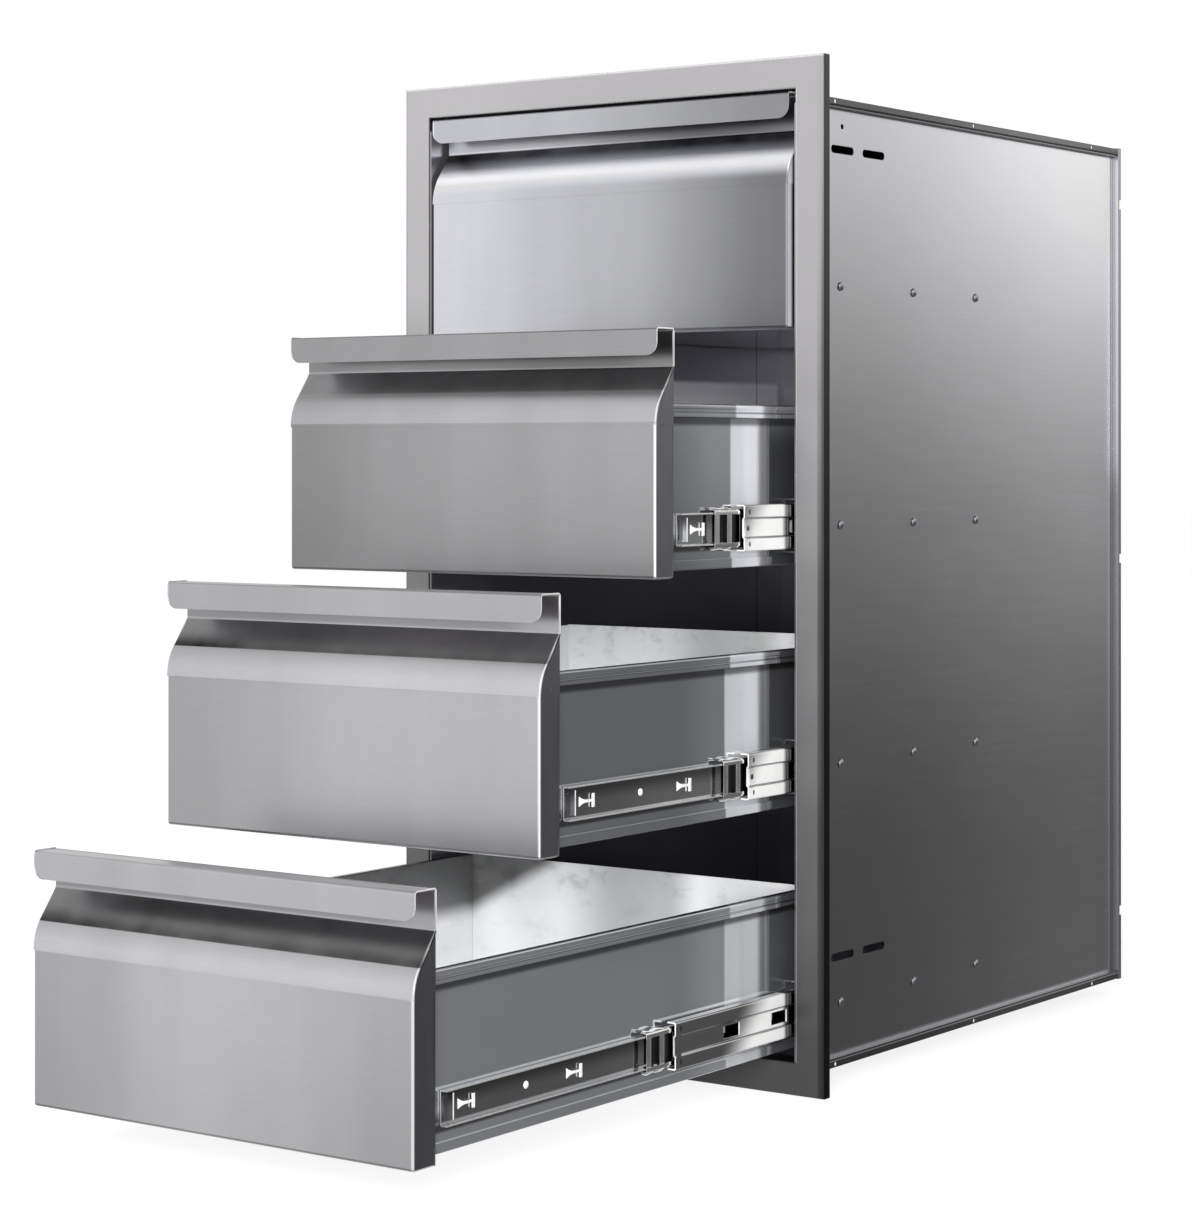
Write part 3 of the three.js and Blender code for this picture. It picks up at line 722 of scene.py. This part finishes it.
def closed_brow_highlight(x, y, z):
    """1 on the brow of the closed drawer: a painted highlight along its bend, made less metallic so
    that the soft light brightens it.
    """
    height = z - float(front_places[1][2] * MM)
    return height.rise(0.136, 0.145) * height.rise(0.154, 0.145)


def mouth_side(x, y, z):
    """1 beside the face of the closed drawer, where light from the mouth falls on its cheek."""
    return y.rise(-0.0170, -0.0160) * y.rise(-0.004, -0.009)


def cheek_tone(finish, place):
    """Small bright nicks, and light from the mouth on the closed drawer."""
    x, y, z = finish.parts(place)
    nicks = finish.noise(place, (0.0011, 0.0011, 0.0022), 1.0, 0.5).rise(0.76, 0.80)
    return 0.93 + 1.6 * nicks + 1.8 * mouth_side(x, y, z)


# The cheeks are a darker copy of the front's steel: painted shade on the drawer's ends.
shaded_cheek_steel = steel(
    "Shaded cheek steel", (0.25, 0.25, 0.265), 0.30, (0.02, 0.004, 0.05), 0.08, 0.10,
    tone=cheek_tone, bump=0.03, metal=haze_and_sheen(1, 0.5, mouth_side),
)
bright_cut = steel("Fresh cut", (0.76, 0.76, 0.76), 0.25, (0.004, 0.004, 0.004), 0.06, 0.10, metal=0.7)
closed_tint, open_tint = (0.625, 0.63, 0.665), (0.645, 0.633, 0.65)
for n in drawers:
    front_steel = steel(
        f"Front {n} steel",
        closed_tint if n == 1 else open_tint,
        0.30,
        (0.02, 0.02, 0.0006),
        0.07,
        0.13,
        (0.06, 0.1, 0.4),
        front_painted_light(front_places[n], crowns[n], slopes[n], **casts[n]),
        metal=haze_and_sheen(1, 0.17, closed_brow_highlight) if n == 1 else 1.0,
    )
    skins = [(skin, (front_steel, front_steel, bright_cut)) for skin in (strip_skin, face_skin)]
    skins += [(skin, (shaded_cheek_steel,)) for skin in cheek_skins]
    body, nodes = f"drawer_{n}", [f"drawer_{n}_front"]
    made(f"drawer_{n}_front_shell", skins, body, nodes, "front_steel", 0.2, front_places[n])


# Drawer boxes, of 1 mm stainless sheet: two sides with rolled rims, a floor pan folded up
# outside them and up at the rear, and a bright inner front wall that closes the back of the
# drawer front.
box_half, box_sheet, box_bend = 180.5, 1.0, 1.2
box_start, box_end, box_rise, box_top = 26.3, 551.3, 5.5, 139.0
rim_out, rim_down, pan_flange, pan_bend, seat, liner_top = 5.5, 11.0, 8.0, 0.7, 0.3, 175.5
groove_top, groove_foot, groove_depth, groove_bend = 4.0, 7.0, 0.4, 0.5
slide_rise, slide_pitch = 38.0, 204.0

half = box_sheet / 2


def along_depth(section, stations):
    """A section (x, z) drawn out along y through the stations."""
    y = np.broadcast_to(np.asarray(stations, float), (len(section), len(stations)))
    x, z = (np.broadcast_to(section[:, i : i + 1], y.shape) for i in (0, 1))
    return np.stack([x, y, z], -1)


def channel(corners, thick, radius, stations, kept=None, steps=5):
    """A bent strip of sheet drawn out along y: its two faces lie half its thickness to either
    side of its middle line."""
    line, normal = bent(corners, radius, steps)
    outside, inside = line + normal * thick / 2, line - normal * thick / 2
    return folded(along_depth(outside, stations), along_depth(inside, stations), kept)


def other_side(skins):
    """The same skins on the left: x changes sign and every face is turned round."""
    return [
        ((points * (-1, 1, 1), [face[::-1] for face in faces], marks), finishes)
        for (points, faces, marks), finishes in skins
    ]


def over_slide(z):
    """How far a height z lies over the slide of its drawer. The slides are one pitch apart, and
    each drawer's range starts 64 mm below its slide."""
    pitch, below, first = slide_pitch * MM, 0.064, float(front_places[4][2] + slide_rise) * MM
    pitches = (z - (first - below)) * (1 / pitch)
    return pitches.math("FRACT", pitches) * pitch - below


def painted_rail_reflection(x, y, z):
    """1 on the stretch of a side where a reflection of the trim frame's rail is painted, less on the
    lowest drawer.
    """
    start = (y - 0.009 * z.rise(0.40, 0.43)).rise(-0.1010, -0.0970)
    shine = (0.84 + 0.16 * y.rise(-0.095, -0.066)) * (1 - 0.22 * z.rise(0.24, 0.22))
    return start * y.rise(-0.0420, -0.0520) * shine


def box_tone(finish, place):
    """Faint upright scratches and small nicks, with painted light brighter on the lowest drawer and
    beside the frame, and painted shade in the rim's groove and at its edge and in lines under the rim
    and under the slide."""
    x, y, z = finish.parts(place)
    height = (0.85 - 0.27 * z.rise(0.12, 0.26)) * (1 - 0.15 * z.rise(0.40, 0.45))
    height = height * (0.99 + 0.45 * y.rise(-0.175, -0.106) * y.rise(-0.035, -0.050))
    height = height + (1.0 - height) * painted_rail_reflection(x, y, z)
    local = over_slide(z)
    groove, edge = local.rise(0.0930, 0.0936) * local.rise(0.0952, 0.0946), local.rise(0.0995, 0.1005)
    rims = 1 - 0.6 * groove - 0.5 * edge
    under_rim = local.rise(0.0820, 0.0860) * local.rise(0.0908, 0.0900)
    under_slide = local.rise(-0.0190, -0.0165) * local.rise(0.0, -0.010)
    scratches = finish.noise(place, (0.01, 0.0015, 0.05), 3.0, 0.7) - 0.5
    nicks = finish.noise(place, (0.01, 0.0012, 0.006), 1.0, 0.5).rise(0.80, 0.83)
    return rims * (1 - 0.72 * (under_rim | under_slide)) * (height + scratches * 0.10 + nicks * 0.25)


def liner_tone(finish, place):
    """Shaded in the middle and at the right of its walls, in the lowest drawer's upper left
    corner and all over the top drawer, with smudges where things are put in."""
    x, y, z = finish.parts(place)
    smudges = finish.noise(place, (0.035, 0.05, 0.022), 3.0, 0.6).rise(0.52, 0.72)
    local = over_slide(z)
    rim, walls = local.rise(0.050, 0.102), local.rise(-0.02, 0.02)
    corner = (local - 0.54 * (x + 0.18)).rise(0.040, 0.060) * z.rise(0.20, 0.19)
    middle, right = x.rise(-0.09, -0.01) * x.rise(0.075, 0.035), x.rise(0.02, 0.12)
    top_drawer = z.rise(0.60, 0.62)
    shaded = (1 - 0.52 * middle * walls) * (1 - 0.50 * right) * (1 - 0.84 * corner)
    shaded = shaded * (1 - 0.36 * top_drawer) * (1 - 0.10 * rim)
    return shaded * (1 - 0.26 * smudges * (0.3 + rim))


liner_steel = steel(
    "Liner steel", (0.92, 0.93, 0.94), 0.34, (0.02, 0.1, 0.003), 0.03, 0.08, (0.05, 0.11, 0.05),
    liner_tone, bump=0.02, metal=0.12,
)
box_steel = steel(
    "Box steel", (0.66, 0.68, 0.71), 0.10, (0.02, 0.09, 0.003), 0.03, 0.10,
    tone=box_tone, bump=0.012, metal=haze_and_sheen(0.94, 0.34, painted_rail_reflection),
)
wall = box_half - half
rim = wall + rim_out
side_corners = [
    (wall, box_rise + box_sheet + seat),
    (wall, box_top - half),
    (rim, box_top - half),
    (rim, box_top - groove_top, groove_bend, 2),
    (rim - groove_depth, box_top - groove_top - groove_depth, groove_bend, 2),
    (rim - groove_depth, box_top - groove_foot + groove_depth, groove_bend, 2),
    (rim, box_top - groove_foot, groove_bend, 2),
    (rim, box_top - rim_down),
]
side_points, side_faces, side_marks = channel(side_corners, box_sheet, box_bend, [box_start, box_end])
faces_in = [side_points[face, 0].mean() < wall for face in side_faces]
side_marks = np.where(side_marks == 2, 2, np.where(faces_in, 1, 0))
side_skins = [((side_points, side_faces, side_marks), (box_steel, liner_steel, box_steel))]
outer = box_half + seat + half
inner_half = box_half - box_sheet - seat
pan_corners = [
    (-outer, box_rise + pan_flange),
    (-outer, box_rise + half),
    (outer, box_rise + half),
    (outer, box_rise + pan_flange),
]
pan_back = block((-inner_half, inner_half), (box_end - box_sheet, box_end), (box_rise, box_top))
liner_height = (box_rise + box_sheet + seat, liner_top)
liner_skin = block((-inner_half, inner_half), (box_start, box_start + box_sheet), liner_height)
pan_sheet = channel(pan_corners, box_sheet, pan_bend, [box_start, box_end])
pan_skins = [(pan_sheet, (liner_steel, box_steel, box_steel)), (pan_back, (liner_steel,))]
liner_skins = [(liner_skin, (liner_steel,))]
for n in drawers:
    place, body = front_places[n], f"drawer_{n}"
    for piece, skins, node in (("pan", pan_skins, "box_pan"), ("liner", liner_skins, "box_front")):
        nodes = [f"drawer_{n}_{node}"]
        made(f"drawer_{n}_{piece}_sheet", skins, body, nodes, "liner_steel", 0.2, place)
    for side, skins in (("right", side_skins), ("left", other_side(side_skins))):
        nodes = [f"drawer_{n}_box_side_{side}"]
        made(f"drawer_{n}_side_sheet_{side}", skins, body, nodes, "box_steel", 0.2, place)


# Slides: zinc-plated steel in three members for each side. The inner member is riveted to the
# drawer and the outer one to the cabinet, and the middle member runs between them on balls.
slide_sheet, slide_bend, sharp = 1.2, 1.0, (0.01, 1)
inner_height, inner_reach, inner_start, inner_length = 26.4, 5.6, 14.5, 500.0
middle_height, middle_reach, middle_length = 38.0, 7.4, 400.0
middle_crease, middle_step = 14.5, 1.4
outer_height, outer_reach, outer_length, outer_start = 46.0, 9.6, 500.0, 13.0
wall_inside = 193.2
inner_web = box_half + seat + slide_sheet / 2
outer_web = wall_inside - seat - slide_sheet / 2
middle_web = outer_web - slide_sheet - seat
inner_face, middle_face = inner_web + slide_sheet / 2, middle_web + slide_sheet / 2


def edges(web, reach, height):
    """Corners of a plain channel: a web, and an edge folded over at its top and bottom."""
    edge = height / 2 - slide_sheet / 2
    return [(web + reach, -edge), (web, -edge), (web, edge), (web + reach, edge)]


def across_middle(line, least):
    """Marks the run of a section that crosses the middle of its height, longer than least."""
    low, high = line[:-1, 1], line[1:, 1]
    return (np.abs(low + high) < 0.5) & (np.abs(high - low) > least)


def spun(start, profile, sides=16):
    """A profile (height, radius) turned round the x axis through start, closed at both ends by
    its first and last circles."""
    height, radius = np.array(profile, float).T
    around = np.linspace(0, 2 * np.pi, sides + 1)[:-1]
    y = start[1] + radius[:, None] * np.cos(around)
    z = start[2] + radius[:, None] * np.sin(around)
    x = np.broadcast_to(start[0] + height[:, None], y.shape)
    points = np.stack([x, y, z], -1).reshape(-1, 3)
    index = np.arange(x.size).reshape(x.shape)
    beside = np.roll(index, -1, 1)
    quads = np.stack([index[:-1], index[1:], beside[1:], beside[:-1]], -1).reshape(-1, 4)
    faces = turned_out(points, quads, [index[0], index[-1][::-1]])
    return points, faces, np.zeros(len(faces), int)


def dome(start, radius, rise, shank=0.0, grip=0.0):
    """A flattened dome: at angle a its height is rise * sin a and its radius radius * cos a. A
    shank stands under it where one is given, and without one its foot is a little sunk."""
    turns, sunk = np.linspace(0, np.pi / 2, 6)[:-1], 0.3
    curve = [(grip + rise * np.sin(turn), radius * np.cos(turn)) for turn in turns]
    return spun(start, ([(0, shank), (grip, shank)] if shank else [(-sunk, radius)]) + curve)


def hook(start):
    """A lanced hook: a tongue whose half height is waist + spread * |t| ** 2.2 while t runs from
    -1 to 0 and waist from there to 1, and an upright bar at its end. It climbs from the web over
    its first half."""
    length, bar, half_bar, waist, spread, climb, thick = 18.0, 2.6, 5.25, 1.1, 2.7, 1.3, 0.7
    root, bar_below, bar_above = inner_face - 0.2, 0.4, 0.3
    t = np.linspace(-1, 1, 13)
    y = (t + 1) / 2 * (length - bar)
    half_height = waist + spread * np.abs(t) ** 2.2 * (t < 0)
    x = root + climb * np.sin(np.minimum(y / length * np.pi, np.pi / 2))
    low, high = (np.stack([x, start + y, side * half_height], 1) for side in (-1, 1))
    outside = np.stack([low, high], 1)
    bar_x = (root + climb - bar_below, root + climb + thick + bar_above)
    post = block(bar_x, (start + length - bar, start + length), (-half_bar, half_bar))
    return folded(outside + (thick, 0, 0), outside), post


def slide_painted_shade(finish, place):
    """Plating on the inner members is darker, with painted shade along the top of the web, and painted
    lighter towards the cabinet."""
    x, y, z = finish.parts(place)
    local = over_slide(z)
    web_top_shade = local.rise(-0.004, 0.0105) * local.rise(0.0120, 0.0112)
    return (0.50 + 0.34 * y.rise(-0.33, -0.07)) * (1 - 0.65 * web_top_shade)


def painted_frame_reflection(x, y, z):
    """1 where a reflection of the trim frame's bright rail is painted on a middle member, first at its
    lower edge and then further up. The painted reflection is weaker on the creases between the bands."""
    local = over_slide(z)
    along = y - 0.9 * local
    creases = abs(abs(local) - 0.0080).rise(0.0006, 0.0012)
    return along.rise(-0.110, -0.055) * y.rise(-0.019, -0.026) * (0.35 + 0.65 * creases)


def rail_tone(finish, place):
    """Plating on the middle members, with a painted reflection where it enters the cabinet."""
    return 0.44 + 0.42 * painted_frame_reflection(*finish.parts(place))


rolled, rolled_patches, fine = (0.02, 0.05, 0.002), (0.02, 0.06, 0.02), (0.004, 0.004, 0.004)
slide_steel = steel(
    "Slide steel", (0.79, 0.80, 0.815), 0.13, rolled, 0.04, 0.14, rolled_patches, slide_painted_shade, bump=0.02
)
rail_steel = steel(
    "Slide rail steel", (0.86, 0.86, 0.85), 0.14, rolled, 0.04, 0.10, rolled_patches,
    rail_tone, bump=0.02, metal=haze_and_sheen(1, 0.6, painted_frame_reflection),
)
worn_steel = steel(
    "Worn plating", (0.88, 0.88, 0.87), 0.30, fine, 0.10, 0.16, (0.006, 0.006, 0.006),
    bump=0.1, metal=0.6,
)
edge_steel = steel("Slide edges", (0.80, 0.80, 0.80), 0.25, fine, 0.08, 0.12, bump=0.1, metal=0.9)
# Painted shade: a dark copy of the plating for the sides of the middle members and cages that face into
# the shade, and for dark plates in the middle members' slits and behind the cages' windows.
shade_tint = (0.045, 0.045, 0.05)
shade_steel = steel("Shaded plating", shade_tint, 0.45, (0.01, 0.02, 0.01), 0.10, 0.20, bump=0.02)
rivet_steel = steel("Rivet steel", (0.30, 0.30, 0.32), 0.25, (0.003, 0.003, 0.003), 0.10, 0.10)

start = front_depth + inner_start
lug_length, lug_half, lug_rise, lug_rib = 12.0, 9.75, 2.5, 1.4
tip_gap, tip_half, lug_floor = 0.4, 8.0, 0.5
hook_places, button_place, button_radius, button_rise = (19.5, 154.0), 102.5, 3.0, 1.2
inner_corners = edges(inner_web, inner_reach, inner_height)
inner_sheet = channel(inner_corners, slide_sheet, slide_bend, [start, start + inner_length])
inner_skins = [(inner_sheet, (slide_steel, slide_steel, edge_steel))]
ribs = ((tip_gap, tip_half, slide_steel), (lug_length - lug_rib, lug_half, worn_steel))
for gap, rib_half, rib_steel in ribs:
    rib_ends = (start + gap, start + gap + lug_rib)
    rib = block((inner_web, inner_face + lug_rise), rib_ends, (-rib_half, rib_half))
    inner_skins.append((rib, (rib_steel, worn_steel, slide_steel)))
lug_x, lug_y = (inner_web, inner_face + lug_floor), (start + lug_rib, start + lug_length)
inner_skins.append((block(lug_x, lug_y, (-tip_half, tip_half)), (slide_steel,)))
for hook_place in hook_places:
    inner_skins += [(skin, (worn_steel,)) for skin in hook(start + hook_place)]
button = dome((inner_face, start + button_place, 0), button_radius, button_rise)
inner_skins.append((button, (worn_steel,)))

crease, edge = middle_crease / 2, middle_height / 2 - slide_sheet / 2
window_half, window_ends = 5.2, (72, 96, 145, 169)
corners = [
    (middle_web - middle_reach, -edge),
    (middle_web, -edge),
    (middle_web, -crease - middle_step),
    (middle_web - middle_step, -crease),
    (middle_web - middle_step, -window_half, *sharp),
    (middle_web - middle_step, window_half, *sharp),
    (middle_web - middle_step, crease),
    (middle_web, crease + middle_step),
    (middle_web, edge),
    (middle_web - middle_reach, edge),
]
line, normal = bent(corners, slide_bend, 4)
windows = np.array([False, True, False, True, False])
kept = ~(across_middle(line, window_half)[:, None] & windows)
stations = [0, *window_ends, middle_length]
middle_sheet = channel(corners, slide_sheet, slide_bend, stations, kept, 4)
# The side of the middle member that faces the drawer is painted shade.
middle_skins = [(middle_sheet, (shade_steel, rail_steel, worn_steel))]

crimp_ends, crimp_sunk, crimp_proud, crimp_half = (1.2, 8.0), 0.9, 0.05, crease + middle_step + 0.4
stud_place, stud_sunk, stud_radius, stud_rise = 4.6, 0.1, 2.9, 0.3
slit_ends, slit_place, slit_half, slit_proud = (6.4, 8.6), 13.2, 1.9, 0.08
crimp_x = (middle_web - crimp_sunk, middle_face + crimp_proud)
crimp = block(crimp_x, crimp_ends, (-crimp_half, crimp_half))
stud = dome((middle_face - stud_sunk, stud_place, 0), stud_radius, stud_rise)
middle_skins += [(crimp, (rail_steel,)), (stud, (rivet_steel,))]
# Dark plates in the slits of the web paint the shade seen through them.
for height in (-slit_place, slit_place):
    slit_z = (height - slit_half, height + slit_half)
    slit = block((middle_web, middle_face + slit_proud), slit_ends, slit_z)
    middle_skins.append((slit, (shade_steel,)))

rivet_places, rivet_radius, rivet_rise, rivet_shank, rivet_grip = (63, 190, 306), 4.0, 2.2, 2.0, 2.2
outer_corners = edges(outer_web, -outer_reach, outer_height)
outer_ends = [outer_start, outer_start + outer_length]
outer_sheet = channel(outer_corners, slide_sheet, slide_bend, outer_ends)
outer_skins = [(outer_sheet, (slide_steel, slide_steel, worn_steel))]
for place in rivet_places:
    rivet = dome((outer_web, place, 0), rivet_radius, rivet_rise, rivet_shank, rivet_grip)
    outer_skins.append((rivet, (rivet_steel,)))


# Ball cages: thin plated ladders whose rims hold the balls between the inner and the middle
# members. They run ahead of the middle member as the drawer opens.
cage_sheet, cage_length, cage_reach, cage_bend, cage_play = 0.6, 230.0, 5.6, 1.6, 0.5
cage_rim, cage_rung, cage_window = 4.0, 6.5, 12.0
ball_height, ball_radius, ball_count = 15.5, 2.15, 9
rung_half, rung_sheet, rung_sunk = 11.8, 0.4, 0.1
cap_gap, cap_wave, cap_sheet, cap_inset, cap_setback = 0.2, 1.5, 0.5, 1.2, 0.4
shade_plate_depth, shade_plate_past, shade_plate_half = (3.0, 3.4), (3.5, 4.5), 11.3
cage_web = middle_web - middle_step - slide_sheet / 2 - cage_play - cage_sheet / 2
cage_pitch = cage_rung + cage_window
front_end = cage_pitch + cage_rung
cage_stations = [0, cage_rung, cage_pitch, front_end, 2 * cage_pitch, 2 * cage_pitch + cage_rung]
rest_start = cage_stations[-1]
cage_stations += [cage_length - cage_rung, cage_length]
cage_corners = [
    (cage_web - cage_reach, -ball_height),
    (cage_web, -ball_height),
    (cage_web, -ball_height + cage_rim, *sharp),
    (cage_web, ball_height - cage_rim, *sharp),
    (cage_web, ball_height),
    (cage_web - cage_reach, ball_height),
]
line, normal = bent(cage_corners, cage_bend, 4)
cut_out = np.array([True] * 6 + [False])
kept = ~(across_middle(line, cage_rim)[:, None] & cut_out)
cage_sheet_skin = channel(cage_corners, cage_sheet, cage_bend, cage_stations, kept, 4)


def ball(start):
    """A ball: at latitude a its radius is r * cos a and its height r * sin a."""
    turns = np.linspace(-1.35, 1.35, 7)
    return spun(start, np.stack([np.sin(turns), np.cos(turns)], 1) * ball_radius, 12)


def saddle(start):
    """A rung pressed inwards: on its way t from 0 to 1 it lies sin(pi t) mm deeper."""
    t = np.linspace(0, 1, 9)
    y, x = start + t * cage_rung, cage_web - rung_sunk - np.sin(np.pi * t)
    grid = np.stack([np.stack([x, y, np.full(len(t), z)], 1) for z in (-rung_half, rung_half)], 1)
    return folded(grid + (rung_sheet, 0, 0), grid)


def cap(side):
    """The cage's flared front end round its first ball: on its way t from 0 to 1 it rises by
    wave * |cos(1.5 pi t)| ** 0.7."""
    t = np.linspace(0, 1, 9)[:, None]
    height = ball_height + cap_gap + cap_wave * np.abs(np.cos(np.pi * t * 1.5)) ** 0.7
    x = np.array([[cage_web - cage_reach + cap_inset, cage_web - cap_setback]])
    grid = np.stack(np.broadcast_arrays(x, t * front_end, side * height), -1)
    return folded(grid, grid - (0, 0, side * cap_sheet))


cage_grain = (0.004, 0.02, 0.004)
cage_steel = steel(
    "Cage steel", (0.72, 0.72, 0.71), 0.18, cage_grain, 0.06, 0.14, (0.01, 0.02, 0.01), bump=0.02
)
ball_steel = steel("Ball steel", (0.50, 0.50, 0.51), 0.10, (0.003, 0.003, 0.003), 0.04, 0.06, bump=0.01)
ball_pitch = (cage_length - cage_rung - rest_start) / ball_count
# The side of the cage that faces the inner member is painted shade.
cage_skins = [(cage_sheet_skin, (shade_steel, cage_steel, edge_steel))]
cage_skins += [(saddle(rung_start), (cage_steel,)) for rung_start in cage_stations[:6:2]]
cage_skins += [(cap(side), (worn_steel,)) for side in (-1, 1)]
# Dark plates behind the cage's windows paint the shade seen through them.
for window_start in cage_stations[1:5:2]:
    shade_plate_x = [inner_face + depth for depth in shade_plate_depth]
    shade_plate_y = (window_start + shade_plate_past[0], window_start + cage_window + shade_plate_past[1])
    cage_skins.append((block(shade_plate_x, shade_plate_y, (-shade_plate_half, shade_plate_half)), (shade_steel,)))
for side in (-1, 1):
    for i in range(ball_count):
        centre = (cage_web - cage_reach / 2, rest_start + ball_pitch * (i + 0.5), side * ball_height)
        cage_skins.append((ball(centre), (ball_steel,)))

for n in drawers:
    height = front_places[n][2] + slide_rise
    middle_front, cage_front = (
        np.array(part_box(f"drawer_{n}_{node}_right")[0])[1] / MM
        for node in ("slide_middle", "ball_cage")
    )
    inner_place = front_places[n] + (0, 0, slide_rise)
    for kind, skins, node, body, place in (
        ("inner_member", inner_skins, "slide_inner", f"drawer_{n}", inner_place),
        ("middle_member", middle_skins, "slide_middle", f"slide_middle_{n}", (0, middle_front, height)),
        ("outer_member", outer_skins, "slide_outer", "cabinet", (0, 0, height)),
        ("cage_ladder", cage_skins, "ball_cage", f"ball_cages_{n}", (0, cage_front, height)),
    ):
        slot = "cage_steel" if node == "ball_cage" else "slide_steel"
        for side, shape in (("right", skins), ("left", other_side(skins))):
            nodes = [f"drawer_{n}_{node}_{side}"]
            made(f"drawer_{n}_{kind}_{side}", shape, body, nodes, slot, 0.12, place)
